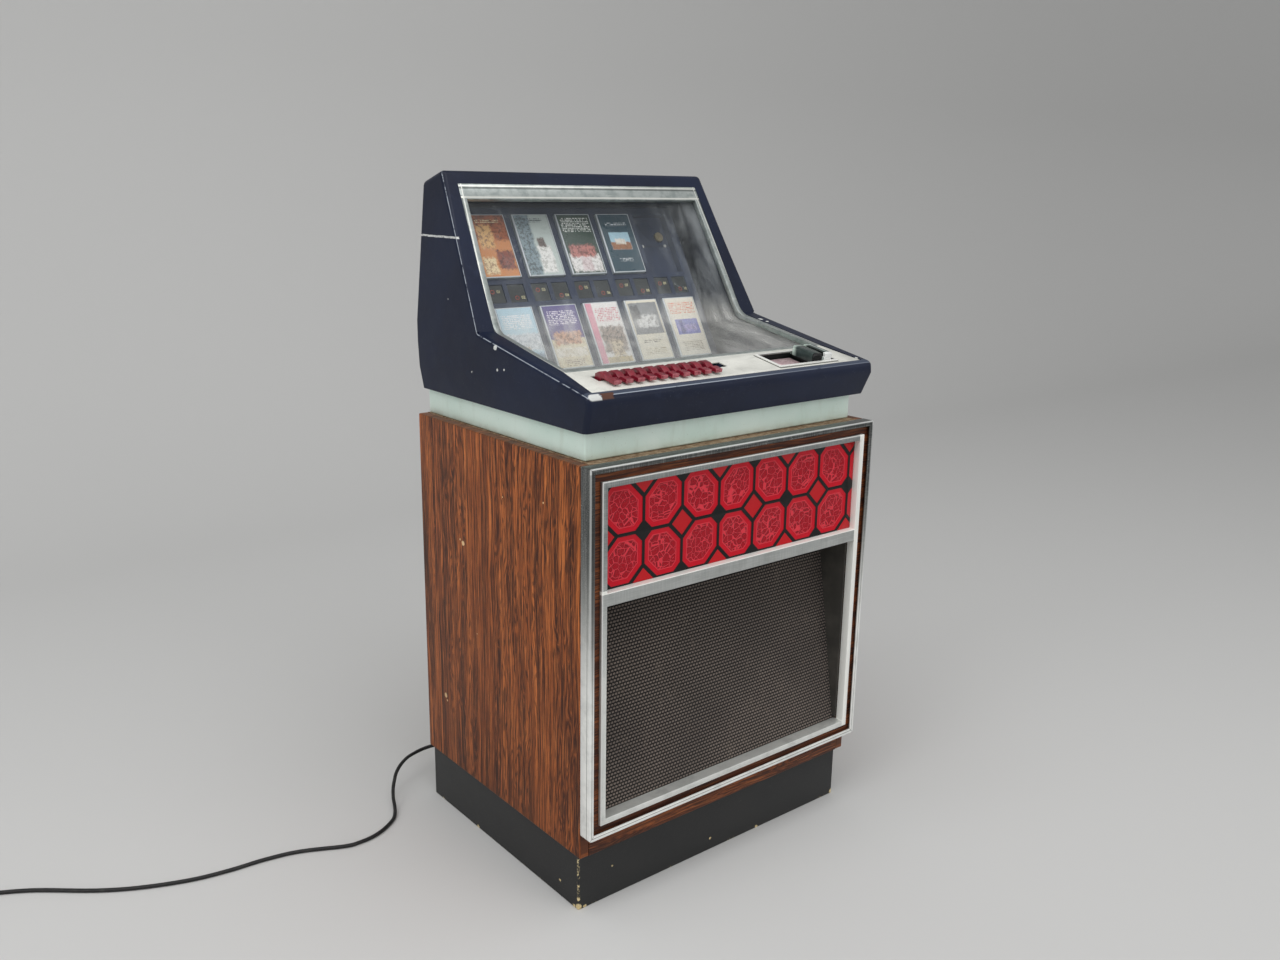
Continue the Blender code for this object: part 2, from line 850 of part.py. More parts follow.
def make_light(look):
    fit = opening_half - seat_gap
    low, high = crossbar_top + seat_gap, opening_top - seat_gap
    back = -frame_projection + inner_return
    panel_front = back - light_thickness - lattice_relief
    panel = flat_outline("light_panel", [rectangle(-fit, fit, low, high)], back - panel_front,
                         front_frame((panel_front + back) / 2), look["red_acrylic"])
    fields = flat_outline("panel_fields", lattice_loops(-fit, fit, low, high), 2 * lattice_relief,
                          front_frame(panel_front), look["red_acrylic"], cutters)
    cut_out(panel, fields)
    make_lamp(look, low, high, back)


def make_lamp(look, low, high, panel_back):
    """A fluorescent tube in a folded white reflector that closes on the light panel."""
    mouth = panel_back + seat_gap
    far = mouth + reflector_depth
    half = opening_half - seat_gap
    waist = reflector_slope
    fold = [(mouth, low), (far - waist, low), (far, low + waist), (far, high - waist), (far - waist, high),
            (mouth, high)]
    inner = offset_outline(fold, reflector_sheet)
    course = [*fold, (mouth, high - reflector_sheet), *reversed(inner[1:5]), (mouth, low + reflector_sheet)]
    outline = [(depth_in(y), z) for y, z in course]
    body = flat_outline("lamp_reflector", [outline], 2 * half, side_frame(0.0), look["white_enamel"])
    middle = (low + high) / 2
    lamp_in = mouth + lamp_back / 2
    end = lamp_length / 2 + lamp_cap_length
    for side in (-1, 1):
        inner_x, outer_x = side * (end + seat_gap), side * (end + seat_gap + holder_thickness)
        low_x, high_x = sorted((inner_x, outer_x))
        holder = block("holder_%s" % ("left" if side < 0 else "right"),
                       (low_x, depth_in(lamp_in - lamp_radius), middle - holder_height / 2),
                       (high_x, depth_in(far - reflector_sheet / 2), middle + holder_height / 2),
                       look["white_enamel"], collection=cutters)
        join_to(body, holder)
    across = frame_matrix((0.0, depth_in(lamp_in), middle), (0, 0, -1), (0, 1, 0))
    glass = lamp_length / 2
    profile = [(0.0, end), (lamp_cap_radius, end), (lamp_cap_radius, glass), (lamp_radius, glass),
               (lamp_radius, -glass), (lamp_cap_radius, -glass), (lamp_cap_radius, -end), (0.0, -end)]
    turned("lamp_tube", profile, across, look["lamp_glass"], small_steps)


def grille_frame(depth):
    """The leaning plane of the speaker cloth, this deep behind its face."""
    origin = (0.0, depth_in(grille_foot_in) + depth * math.cos(grille_lean),
              opening_foot - depth * math.sin(grille_lean))
    return leaning_frame(origin, grille_lean)


def make_speakers(look):
    rise = (crossbar_foot - opening_foot) / math.cos(grille_lean)
    half = opening_half - cheek_thickness - 2 * seat_gap
    flat_outline("grille_cloth", [rectangle(-half, half, seat_gap, rise - seat_gap)], cloth_thickness,
                 grille_frame(cloth_thickness / 2), look["grille_cloth"])
    face = cloth_thickness + seat_gap
    centre = rise / 2
    holes = [circle_points(side * speaker_spacing / 2, centre, speaker_cone_radius) for side in (-1, 1)]
    wide = opening_half - seat_gap
    board = flat_outline("speaker_baffle", [rectangle(-wide, wide, seat_gap, rise - seat_gap), *holes],
                         baffle_thickness, grille_frame(face + baffle_thickness / 2), look["dark_board"])
    back = face + baffle_thickness + seat_gap
    throat = speaker_magnet_radius
    profile = [(0.0, -speaker_cone_depth / 2), (dust_cap_radius, -speaker_cone_depth),
               (speaker_cone_radius, 0.0), (speaker_radius, 0.0), (speaker_radius, -speaker_rim),
               (speaker_cone_radius, -speaker_rim * 2), (throat, -speaker_depth + speaker_magnet_depth),
               (throat, -speaker_depth), (0.0, -speaker_depth)]
    for side, name in ((-1, "loudspeaker_left"), (1, "loudspeaker_right")):
        place = grille_frame(back) @ Matrix.Translation((side * speaker_spacing / 2, centre, 0.0))
        turned(name, profile, place, look["black_paper"])
    make_cheeks(look, board)


def make_cheeks(look, board):
    """Two wedge boards on the baffle close the recess beside the leaning cloth."""
    front = depth_in(-frame_projection + inner_return + seat_gap)
    foot = opening_foot + frame_wall
    head = crossbar_foot - frame_wall
    middle = cloth_thickness + seat_gap + baffle_thickness / 2
    lean = math.tan(grille_lean)
    back = depth_in(grille_foot_in + middle / math.cos(grille_lean))
    outline = [(front, foot), (back + (foot - opening_foot) * lean, foot),
               (back + (head - opening_foot) * lean, head), (front, head)]
    for side, name in ((-1, "cheek_left"), (1, "cheek_right")):
        x = side * (opening_half - 2 * seat_gap - cheek_thickness / 2)
        cheek = flat_outline(name, [outline], cheek_thickness, side_frame(x), look["dark_board"], cutters)
        join_to(board, cheek)


def make_inside(look):
    floor = carcass_foot + flat_board + seat_gap
    make_amplifier(look, floor)
    make_cash(look, floor)


def make_amplifier(look, floor):
    left = -half_width + side_board + amplifier_side_room
    front = depth_in(cabinet_depth / 2)
    low = (left, front, floor)
    high = (left + amplifier_width, front + amplifier_depth, floor + amplifier_height)
    body = block("amplifier", low, high, look["grey_steel"])
    wall = amplifier_sheet
    hollow = block("amplifier_hollow", (low[0] + wall, low[1] + wall, low[2] + wall),
                   (high[0] - wall, high[1] + cut_overrun, high[2] - wall), look["grey_steel"],
                   collection=cutters)
    cut_out(body, hollow)
    pitch = amplifier_width / (amplifier_slots + 1)
    bm = bmesh.new()
    for i in range(amplifier_slots):
        x = low[0] + (i + 1) * pitch
        half = amplifier_slot_width / 2
        add_box(bm, (x - half, low[1] + amplifier_depth / 4, high[2] - wall - cut_overrun),
                (x + half, high[1] - amplifier_depth / 4, high[2] + cut_overrun))
    cut_out(body, finish_mesh(bm, "amplifier_slots", look["grey_steel"], collection=cutters))
    x = high[0] - wall / 2
    y = front + winding_reveal
    core = block("transformer_core", (x, y, floor), (x + transformer_width, y + transformer_depth,
                 floor + transformer_height), look["grey_steel"], collection=cutters)
    winding = block("transformer_winding", (x + winding_reveal, y - winding_reveal, floor + winding_reveal),
                    (x + transformer_width - winding_reveal, y + transformer_depth + winding_reveal,
                     floor + transformer_height - winding_reveal), look["grey_steel"], collection=cutters)
    join_to(body, core, winding)


def make_cash(look, floor):
    """An open cash box on the floor board, and the chute that drops coins into it."""
    x, y = entry_middle, depth_in(coin_path_in)
    left = min(x - cash_width / 2, half_width - side_board - seat_gap - cash_width)
    low = (left, y - chute_depth / 2, floor)
    high = (low[0] + cash_width, low[1] + cash_depth, floor + cash_height)
    box = block("cash_box", low, high, look["grey_steel"])
    wall = cash_sheet
    cut_out(box, block("cash_box_hollow", (low[0] + wall, low[1] + wall, low[2] + wall),
                       (high[0] - wall, high[1] - wall, high[2] + cut_overrun), look["grey_steel"],
                       collection=cutters))
    top = pedestal_top - pedestal_wall / 2
    low_z = high[2] + seat_gap
    outer = rectangle(x - chute_width / 2, x + chute_width / 2, y - chute_depth / 2, y + chute_depth / 2)
    inner = rectangle(x - chute_width / 2 + chute_wall, x + chute_width / 2 - chute_wall,
                      y - chute_depth / 2 + chute_wall, y + chute_depth / 2 - chute_wall)
    duct = flat_outline("coin_chute", [outer, inner], top - low_z, plan_frame((top + low_z) / 2),
                        look["grey_steel"])
    wide = rectangle(outer[0][0] - chute_flange, outer[1][0] + chute_flange, outer[0][1] - chute_flange,
                     outer[2][1] + chute_flange)
    flange_z = carcass_top + seat_gap + chute_flange_thickness / 2
    join_to(duct, flat_outline("chute_flange", [wide, inner], chute_flange_thickness, plan_frame(flange_z),
                               look["grey_steel"], cutters))


def make_back_door(look):
    inner = half_width - side_board
    low = carcass_foot + flat_board + running_gap
    high = carcass_top - flat_board - running_gap
    axis_x = inner
    axis_y = depth_in(cabinet_depth) + seat_gap + door_knuckle_radius
    origin = Vector((axis_x, axis_y, 0.0))
    frame = Matrix.Translation(origin)
    left = -inner + running_gap - axis_x
    right = -running_gap
    front = depth_in(cabinet_depth - door_thickness) - axis_y
    back = depth_in(cabinet_depth) - axis_y
    door = block("back_door", (left, front, low), (right, back, high), look["raw_board"], frame)
    bm = bmesh.new()
    span = (vent_columns - 1) * (vent_width + vent_height * 2)
    for row in range(vent_rows):
        for column in range(vent_columns):
            x = (left + right) / 2 - span / 2 + column * span / (vent_columns - 1)
            z = high - (high - low) / 4 - row * vent_pitch
            add_box(bm, (x - vent_width / 2, front - cut_overrun, z - vent_height / 2),
                    (x + vent_width / 2, back + cut_overrun, z + vent_height / 2))
    cut_out(door, finish_mesh(bm, "door_vents", look["raw_board"], frame, cutters))
    lock_x = left + lock_radius * 3
    lock_z = (low + high) / 2
    hole_place = (lock_x, (front + back) / 2, lock_z)
    lock_hole = cylinder("door_lock_hole", hole_place, "Y", lock_radius + running_gap,
                         door_thickness + 2 * cut_overrun, look["raw_board"], frame, cutters)
    cut_out(door, lock_hole)
    make_door_hinge(look, origin, low, high)
    make_door_lock(look, origin + Vector((lock_x, 0.0, lock_z)), front, back)


def make_door_hinge(look, origin, low, high):
    """A long butt hinge: the pin and its two end knuckles on the carcass, the middle knuckle on the door."""
    frame = Matrix.Translation(origin)
    fixed, moving = bmesh.new(), bmesh.new()
    leaf_front = depth_in(cabinet_depth) + seat_gap - origin.y
    leaf_back = leaf_front + leaf_thickness
    middle = (low + high) / 2
    end = door_hinge_length / 2
    knuckle = door_hinge_length * door_knuckle_share
    inner = end - knuckle
    add_cylinder(fixed, (0.0, 0.0, middle), "Z", door_pin_radius, 2 * end, small_steps)
    for side in (-1, 1):
        knuckle_z = middle + side * (end - knuckle / 2)
        add_cylinder(fixed, (0.0, 0.0, knuckle_z), "Z", door_knuckle_radius, knuckle, small_steps)
        foot, head = sorted((middle + side * end, middle + side * inner))
        add_box(fixed, (0.0, leaf_front, foot), (leaf_width, leaf_back, head))
    clear = door_knuckle_radius + seat_gap
    add_box(fixed, (clear, leaf_front, middle - end), (leaf_width, leaf_back, middle + end))
    reach = inner - running_gap
    add_cylinder(moving, (0.0, 0.0, middle), "Z", door_knuckle_radius, 2 * reach, small_steps)
    add_box(moving, (-leaf_width, leaf_front, middle - reach), (0.0, leaf_back, middle + reach))
    self_join(fixed, "door_hinge", look["grey_steel"], frame)
    eye = self_join(moving, "door_hinge_leaf", look["grey_steel"], frame)
    cut_out(eye, cylinder("door_eye_bore", (0.0, 0.0, middle), "Z", door_pin_radius + axle_play, 2 * end,
                          look["grey_steel"], frame, cutters, small_steps))


def self_join(bm, name, material, frame):
    """Unites the overlapping shells of one mesh into closed bodies."""
    item = finish_mesh(bm, name, material, frame)
    blank = block(name + "_none", (0, 0, -half_width), (seat_gap, seat_gap, -half_width + seat_gap), material,
                  collection=cutters)
    cut = item.modifiers.new("unite", "BOOLEAN")
    cut.operation = "DIFFERENCE"
    cut.object = blank
    cut.solver = "EXACT"
    cut.use_self = True
    blank.hide_render = True
    blank.display_type = "WIRE"
    return shade_round(item)


def make_door_lock(look, place, front, back):
    """A cam lock: its barrel turns in the door, its tongue reaches behind the door's edge."""
    bm = bmesh.new()
    length = back - front
    add_cylinder(bm, (0.0, (front + back) / 2, 0.0), "Y", lock_radius, length + lock_face, round_steps)
    lock = finish_mesh(bm, "door_lock", look["chrome"], Matrix.Translation(place))
    tongue_front = front - lock_face / 2 - leaf_thickness
    tongue = block("door_lock_tongue", (-lock_tongue_width / 2, tongue_front, -lock_radius),
                   (lock_tongue_width / 2, front - lock_face / 4, lock_tongue_length), look["grey_steel"],
                   Matrix.Translation(place), cutters)
    join_to(lock, tongue)
    key_way = block("door_lock_key_way", (-lock_radius / 8, back - lock_face, -lock_radius / 2),
                    (lock_radius / 8, back + lock_face, lock_radius / 2), look["chrome"],
                    Matrix.Translation(place), cutters)
    cut_out(lock, key_way)


def make_pedestal(look):
    half = half_width - pedestal_inset
    low = (-half, depth_in(pedestal_front_in), pedestal_foot)
    high = (half, depth_in(pedestal_back_in), pedestal_top)
    body = round_edges(block("pedestal", low, high, look["mint_paint"]), pedestal_round, 2)
    wall = pedestal_wall
    hollow = block("pedestal_hollow", (low[0] + wall, low[1] + wall, low[2] - cut_overrun),
                   (high[0] - wall, high[1] - wall, high[2] - wall), look["mint_paint"], collection=cutters)
    hole = block("pedestal_coin_hole", coin_hole(-1, pedestal_top - wall), coin_hole(1, pedestal_top),
                 look["mint_paint"], collection=cutters)
    cut_out(body, hollow, hole)


def make_shell(look):
    spare = 2 * shell_round
    shell = tapered_prism("head_shell", shell_outline(spare), shell_half_table(), look["navy_shell"])
    round_edges(shell, shell_round, 3, math.radians(28))
    inner = offset_outline(shell_outline(spare + shell_wall + cut_overrun), shell_wall)
    hollow = tapered_prism("shell_hollow", inner, shell_half_table(shell_wall), look["navy_shell"], cutters)
    foot = block("shell_foot_cut", (-2 * half_width, -2 * half_width, pedestal_top - spare),
                 (2 * half_width, 2 * half_width, shell_foot_height), look["navy_shell"], collection=cutters)
    opening = bent_slab(opening_front_margin, opening_top_up, -cut_overrun, shell_wall + cut_overrun)
    window_cut = tapered_prism("shell_opening", opening, opening_half_table(), look["navy_shell"], cutters)
    return shade_round(cut_out(shell, hollow, window_cut, foot))


def make_window(look):
    glass_depth = trim_depth + seat_gap
    outline = bent_slab(trim_start, opening_top_up - window_underlap, glass_depth,
                        glass_depth + window_thickness)
    tapered_prism("window", outline, opening_half_table(window_underlap), look["clear_acrylic"])
    outer = bent_slab(trim_start, opening_top_up - seat_gap, trim_sink, trim_depth)
    trim = tapered_prism("window_trim", outer, opening_half_table(seat_gap), look["aluminium"])
    inner = bent_slab(trim_start + strip_width, opening_top_up - trim_top_width, -cut_overrun,
                      trim_depth + cut_overrun)
    cut = tapered_prism("window_trim_cut", inner, opening_half_table(trim_width), look["aluminium"], cutters)
    cut_out(trim, cut)


def panel_half(along):
    """Half width of the opening at a place along the control panel, less the seat gap."""
    height = lower_point(panel_start + along, 0.0).y
    return interpolate(opening_half_table(seat_gap), height)


def make_panel(look):
    frame = panel_frame(panel_sink + panel_thickness / 2)
    outline = [(-panel_half(0.0), 0.0), (panel_half(0.0), 0.0), (panel_half(panel_length), panel_length),
               (-panel_half(panel_length), panel_length)]
    slot = rectangle(slot_left, slot_right, slot_start, slot_end)
    coin = rectangle(coin_left + bezel_bar / 2, coin_right - bezel_bar / 2, coin_start + bezel_bar / 2,
                     coin_end - bezel_bar / 2)
    flat_outline("control_panel", [outline, slot, coin], panel_thickness, frame, look["panel_white"])


def key_outline():
    """Side view of a piano key, from its overhanging front block to its boss on the axle."""
    y0, z0 = axle_at, -axle_drop
    boss = axle_boss
    return [(key_front - y0, key_clear - z0), (key_front - y0, key_block_top - z0),
            (key_block_back - y0, key_block_top - z0), (key_dip_at - y0, key_dip - z0),
            (key_hump_at - y0, key_hump - z0), (key_hump_back - y0, key_hump - z0),
            (key_stem_back - y0, key_dip - z0), (key_stem_back - y0, boss),
            (0.0, boss), (boss * math.cos(math.pi / 4), boss * math.sin(math.pi / 4)), (boss, 0.0),
            (boss * math.cos(math.pi / 4), -boss * math.sin(math.pi / 4)), (0.0, -boss),
            (key_stem_front - y0, -boss), (key_stem_front - y0, key_clear - z0)]


def make_keys(look):
    """Ten red keys on one axle under the panel, each free to tip on its own."""
    tilt = panel_frame(panel_sink)
    outline = key_outline()
    bore = circle_points(0.0, 0.0, axle_radius + axle_play, small_steps)
    for i in range(key_count):
        centre_x = key_first_left + key_width / 2 + i * key_pitch
        place = tilt @ frame_matrix((centre_x, axle_at, -axle_drop), (0, 1, 0), (0, 0, 1))
        flat_outline("key_%02d" % (i + 1), [outline, bore], key_width, place, look["key_red"])
    make_key_bracket(look, tilt)


def make_key_bracket(look, tilt):
    """A folded channel under the panel with two cheeks that hold the axle."""
    left = key_first_left - bracket_sheet * 2
    right = key_first_left + (key_count - 1) * key_pitch + key_width + bracket_sheet * 2
    top = -panel_thickness - seat_gap
    bm = bmesh.new()
    for x in (left - bracket_sheet, right):
        add_box(bm, (x, axle_at - bracket_depth / 2, -axle_drop - axle_boss * 2),
                (x + bracket_sheet, axle_at + bracket_depth / 2, top))
    foot = -axle_drop - axle_boss * 2
    add_box(bm, (left - bracket_sheet, axle_at - bracket_depth / 2, foot),
            (right + bracket_sheet, axle_at + bracket_depth / 2, foot + bracket_sheet))
    middle = ((left + right) / 2, axle_at, -axle_drop)
    add_cylinder(bm, middle, "X", axle_radius, right - left + bracket_sheet, small_steps)
    return self_join(bm, "key_bracket", look["grey_steel"], tilt)


def make_coin_unit(look):
    top = panel_frame(panel_sink)
    outer = rectangle(coin_left, coin_right, coin_start, coin_end)
    inner = rectangle(coin_left + bezel_bar, coin_right - bezel_bar, coin_start + bezel_bar,
                      coin_end - bezel_bar)
    bezel_frame = top @ Matrix.Translation((0.0, 0.0, seat_gap + bezel_proud / 2))
    flat_outline("coin_bezel", [outer, inner], bezel_proud, bezel_frame, look["chrome"])
    gap = bezel_bar / 2 + seat_gap
    low = (coin_left + gap, coin_start + gap, -panel_thickness - tray_depth)
    high = (coin_right - gap, coin_end - gap, 0.0)
    tray = block("coin_unit", low, high, look["label_dark"], top)
    wall = tray_wall
    hollow = block("coin_tray_hollow", (low[0] + wall, low[1] + wall, low[2] + wall),
                   (high[0] - wall, high[1] - wall, high[2] + cut_overrun), look["label_dark"], top, cutters)
    middle = (coin_start + coin_end) / 2
    slot_half = entry_slot_width / 2
    drop = block("coin_tray_drop", (entry_middle - slot_half - wall, middle - entry_slot_length / 2,
                                    low[2] - cut_overrun),
                 (entry_middle + slot_half + wall, middle + entry_slot_length / 2, high[2] + cut_overrun),
                 look["label_dark"], top, cutters)
    cut_out(tray, hollow, drop)
    join_to(tray, *make_coin_entry(look, top, low, high, middle))


def make_coin_entry(look, top, low, high, middle):
    """Two thick bars with the coin slot between them, and the slide that carries coins back to the chute."""
    floor = low[2] + tray_wall / 2
    reach = (coin_end - coin_start) / 2 - bezel_bar - seat_gap
    entry = block("coin_entry", (entry_left, middle - reach, floor),
                  (entry_right, middle + reach, entry_height), look["chrome"], top, cutters)
    round_edges(entry, entry_bar_round, 2)
    half = entry_slot_width / 2
    slot = block("coin_slot", (entry_middle - half, middle - entry_slot_length / 2, floor - cut_overrun),
                 (entry_middle + half, middle + entry_slot_length / 2, entry_height + cut_overrun),
                 look["chrome"], top, cutters)
    groove = block("coin_groove", (entry_middle - 2 * half, middle - reach - cut_overrun, entry_height / 2),
                   (entry_middle + 2 * half, middle + reach + cut_overrun, entry_height + cut_overrun),
                   look["chrome"], top, cutters)
    cut_out(entry, slot, groove)
    head = top @ Vector((0.0, low[1], low[2] + tray_wall / 2))
    tail = Vector((0.0, depth_in(coin_path_in) - chute_depth / 2, shell_foot_height + seat_gap))
    run = (tail - head).normalized() * slide_sheet
    outline = [(head.y, head.z), (tail.y, tail.z), (tail.y + run.z, tail.z - run.y),
               (head.y + run.z, head.z - run.y)]
    slides = []
    for name, left, right, lift in (("slide_floor", -slide_half, slide_half, 0.0),
                                    ("slide_left", -slide_half, -slide_half + slide_sheet, slide_lip),
                                    ("slide_right", slide_half - slide_sheet, slide_half, slide_lip)):
        raised = [(y, z) for y, z in outline[2:]] + [(y, z + lift) for y, z in outline[:2]]
        place = side_frame(entry_middle + (left + right) / 2)
        slides.append(flat_outline(name, [raised], right - left, place, look["grey_steel"], cutters))
    return [entry, *slides]


def rack_frame(depth=0.0):
    """The leaning plane of the cassette fronts, this deep behind them."""
    origin = (0.0, depth_in(rack_foot_in) + depth * math.cos(rack_lean),
              rack_foot_height - depth * math.sin(rack_lean))
    return leaning_frame(origin, rack_lean)


def bay_places():
    """Centre X and foot height, along the rack, of every bay; the last of the upper row stays empty."""
    for row in range(2):
        for column in range(bay_columns):
            yield (column - (bay_columns - 1) / 2) * bay_pitch, row * row_rise, row, column


def make_rack(look):
    frame = rack_frame()
    top = rack_rise
    slab = block("rack_panel", (-slab_half, -slab_foot_margin, -case_proud - slab_thickness),
                 (slab_half, top, -case_proud), look["rack_navy"], frame)
    pocket_floor = -case_thickness - seat_gap
    pockets = bmesh.new()
    half = case_width / 2 + pocket_play
    for x, y, row, column in bay_places():
        add_box(pockets, (x - half, y - pocket_play, pocket_floor),
                (x + half, y + case_height + pocket_play, cut_overrun))
        foot = case_height + label_rise
        for side in (-1, 1):
            low, high = sorted((side * label_gap / 2, side * (label_gap / 2 + label_width)))
            if row == 0:
                add_box(pockets, (x + low, foot, -case_proud - label_sink),
                        (x + high, foot + label_height, cut_overrun))
    cut_out(slab, finish_mesh(pockets, "rack_pockets", look["rack_navy"], frame, cutters))
    empty_x = (bay_columns - 1) / 2 * bay_pitch
    thumb_place = (empty_x + thumb_left, row_rise + thumb_rise, pocket_floor)
    thumb = cylinder("thumb_cut", thumb_place, "Z", thumb_radius, 2 * thumb_depth, look["rack_navy"], frame,
                     cutters)
    lock_place = frame @ Matrix.Translation((empty_x + rack_lock_right, row_rise + rack_lock_rise,
                                             pocket_floor))
    hole_depth = slab_thickness + case_proud + pocket_floor
    lock_hole = cylinder("rack_lock_hole", (0.0, 0.0, 0.0), "Z", rack_lock_radius + running_gap,
                         2 * (hole_depth + cut_overrun), look["rack_navy"], lock_place, cutters)
    cut_out(slab, thumb, lock_hole)
    join_to(slab, *make_rack_brackets(look, top))
    make_rack_lock(look, lock_place, hole_depth)
    make_cassettes(look, frame)


def make_rack_lock(look, place, hole_depth):
    bm = bmesh.new()
    add_cylinder(bm, (0.0, 0.0, (lock_face - hole_depth) / 2), "Z", rack_lock_radius, lock_face + hole_depth)
    lock = shade_round(finish_mesh(bm, "rack_lock", look["brass"], place))
    way = rack_lock_radius / 2
    cut_out(lock, block("rack_lock_key_way", (-way / 4, -way, lock_face / 2), (way / 4, way, 2 * lock_face),
                        look["brass"], place, cutters))


def make_cassettes(look, frame):
    """Nine cassettes in their clear cases, each with the seam of its hinged lid."""
    number = 0
    for x, y, row, column in bay_places():
        if row == 1 and column == bay_columns - 1:
            continue
        number += 1
        half = case_width / 2
        place = frame @ Matrix.Translation((x, y, 0.0))
        case = block("cassette_%02d" % number, (-half, 0.0, -case_thickness), (half, case_height, 0.0),
                     look["clear_acrylic"], place)
        round_edges(case, case_round, 1)
        ring, core = bmesh.new(), bmesh.new()
        low, high = -case_lid_depth - case_seam_width, -case_lid_depth
        add_box(ring, (-half - case_seam, -case_seam, low), (half + case_seam, case_height + case_seam, high))
        seam = finish_mesh(ring, "case_seam_%02d" % number, look["clear_acrylic"], place, cutters)
        add_box(core, (-half + case_seam, case_seam, low - case_seam),
                (half - case_seam, case_height - case_seam, high + case_seam))
        cut_out(seam, finish_mesh(core, "case_core_%02d" % number, look["clear_acrylic"], place, cutters))
        cut_out(case, seam)


def make_rack_brackets(look, top):
    """Two side boards tie the leaning rack to the head's back wall and rest on the pedestal when it is shut."""
    along = Vector((math.sin(rack_lean), math.cos(rack_lean)))
    inward = Vector((math.cos(rack_lean), -math.sin(rack_lean)))
    origin = Vector((rack_foot_in, rack_foot_height)) + inward * case_proud
    foot = pedestal_top + seat_gap
    front_foot = origin + along * ((foot - origin.y) / along.y)
    front_head = origin + along * (top - bracket_head_drop)
    back_head = front_head.y - slab_thickness * math.sin(rack_lean)
    heel = rack_back_in - bracket_heel_room
    corners = (front_foot, (heel, foot), (heel, shell_belly_height),
               (rack_back_in, shell_belly_height + bracket_heel_room), (rack_back_in, back_head), front_head)
    outline = [(depth_in(y), z) for y, z in corners]
    boards = []
    for side, name in ((-1, "bracket_left"), (1, "bracket_right")):
        x = side * (slab_half + bracket_board / 2 - seat_gap)
        boards.append(flat_outline(name, [outline], bracket_board, side_frame(x), look["rack_navy"], cutters))
    return boards


def make_player(look):
    """The tape transport behind the rack: a chassis with its two drive spindles."""
    floor = pedestal_top + seat_gap
    low = (-player_half, depth_in(shell_back_in - player_front_room), floor)
    high = (player_half, depth_in(shell_back_in - player_back_room), floor + player_height)
    chassis = block("player_unit", low, high, look["grey_steel"])
    wall = player_sheet
    hollow = block("player_hollow", (low[0] + wall, low[1] + wall, floor - cut_overrun),
                   (high[0] - wall, high[1] - wall, high[2] - wall), look["grey_steel"], collection=cutters)
    cut_out(chassis, hollow)
    bm = bmesh.new()
    for side in (-1, 1):
        add_cylinder(bm, (side * player_half / 2, (low[1] + high[1]) / 2, high[2] + spindle_height / 2
                          - wall / 2), "Z", spindle_radius, spindle_height, small_steps)
    join_to(chassis, finish_mesh(bm, "player_spindles", look["grey_steel"], collection=cutters))


def lid_axis():
    return Vector((0.0, depth_in(shell_back_in + seat_gap + lid_knuckle_radius), pedestal_top + seat_gap))


def make_lid_hinge(look):
    """A hinge along the back: pin and middle knuckle on the pedestal, eyes on the shell."""
    axis = lid_axis()
    frame = Matrix.Translation(axis)
    pedestal_back = depth_in(pedestal_back_in) + seat_gap - axis.y
    fixed, moving = bmesh.new(), bmesh.new()
    reach = 2 * (lid_knuckle_half + lid_pin_reach)
    add_cylinder(fixed, (0.0, 0.0, 0.0), "X", lid_pin_radius, reach, small_steps)
    add_cylinder(fixed, (0.0, 0.0, 0.0), "X", lid_knuckle_radius, 2 * lid_knuckle_half, small_steps)
    add_box(fixed, (-lid_knuckle_half, pedestal_back, -lid_leaf_height), (lid_knuckle_half,
            leaf_thickness + pedestal_back, -lid_knuckle_radius / 2))
    add_box(fixed, (-lid_knuckle_half, pedestal_back, -lid_knuckle_radius / 2 - leaf_thickness),
            (lid_knuckle_half, 0.0, -lid_knuckle_radius / 2))
    self_join(fixed, "lid_hinge", look["grey_steel"], frame)
    shell_back = -lid_knuckle_radius
    half = (lid_pin_reach - seat_gap) / 2
    rise = lid_knuckle_radius + running_gap
    for side in (-1, 1):
        middle = side * (lid_knuckle_half + seat_gap + lid_pin_reach / 2)
        add_cylinder(moving, (middle, 0.0, 0.0), "X", lid_knuckle_radius, 2 * half, small_steps)
        add_box(moving, (middle - half, shell_back, 0.0),
                (middle + half, shell_back + leaf_thickness, 2 * rise))
    far = lid_knuckle_half + seat_gap + lid_pin_reach / 2 + half
    add_box(moving, (-far, shell_back, rise), (far, shell_back + leaf_thickness, lid_leaf_height
            + shell_belly_height - pedestal_top))
    leaf = self_join(moving, "lid_hinge_leaf", look["grey_steel"], frame)
    bore = bmesh.new()
    add_cylinder(bore, (0.0, 0.0, 0.0), "X", lid_pin_radius + axle_play, reach + cut_overrun, small_steps)
    cut_out(leaf, finish_mesh(bore, "lid_eye_bores", look["grey_steel"], frame, cutters))


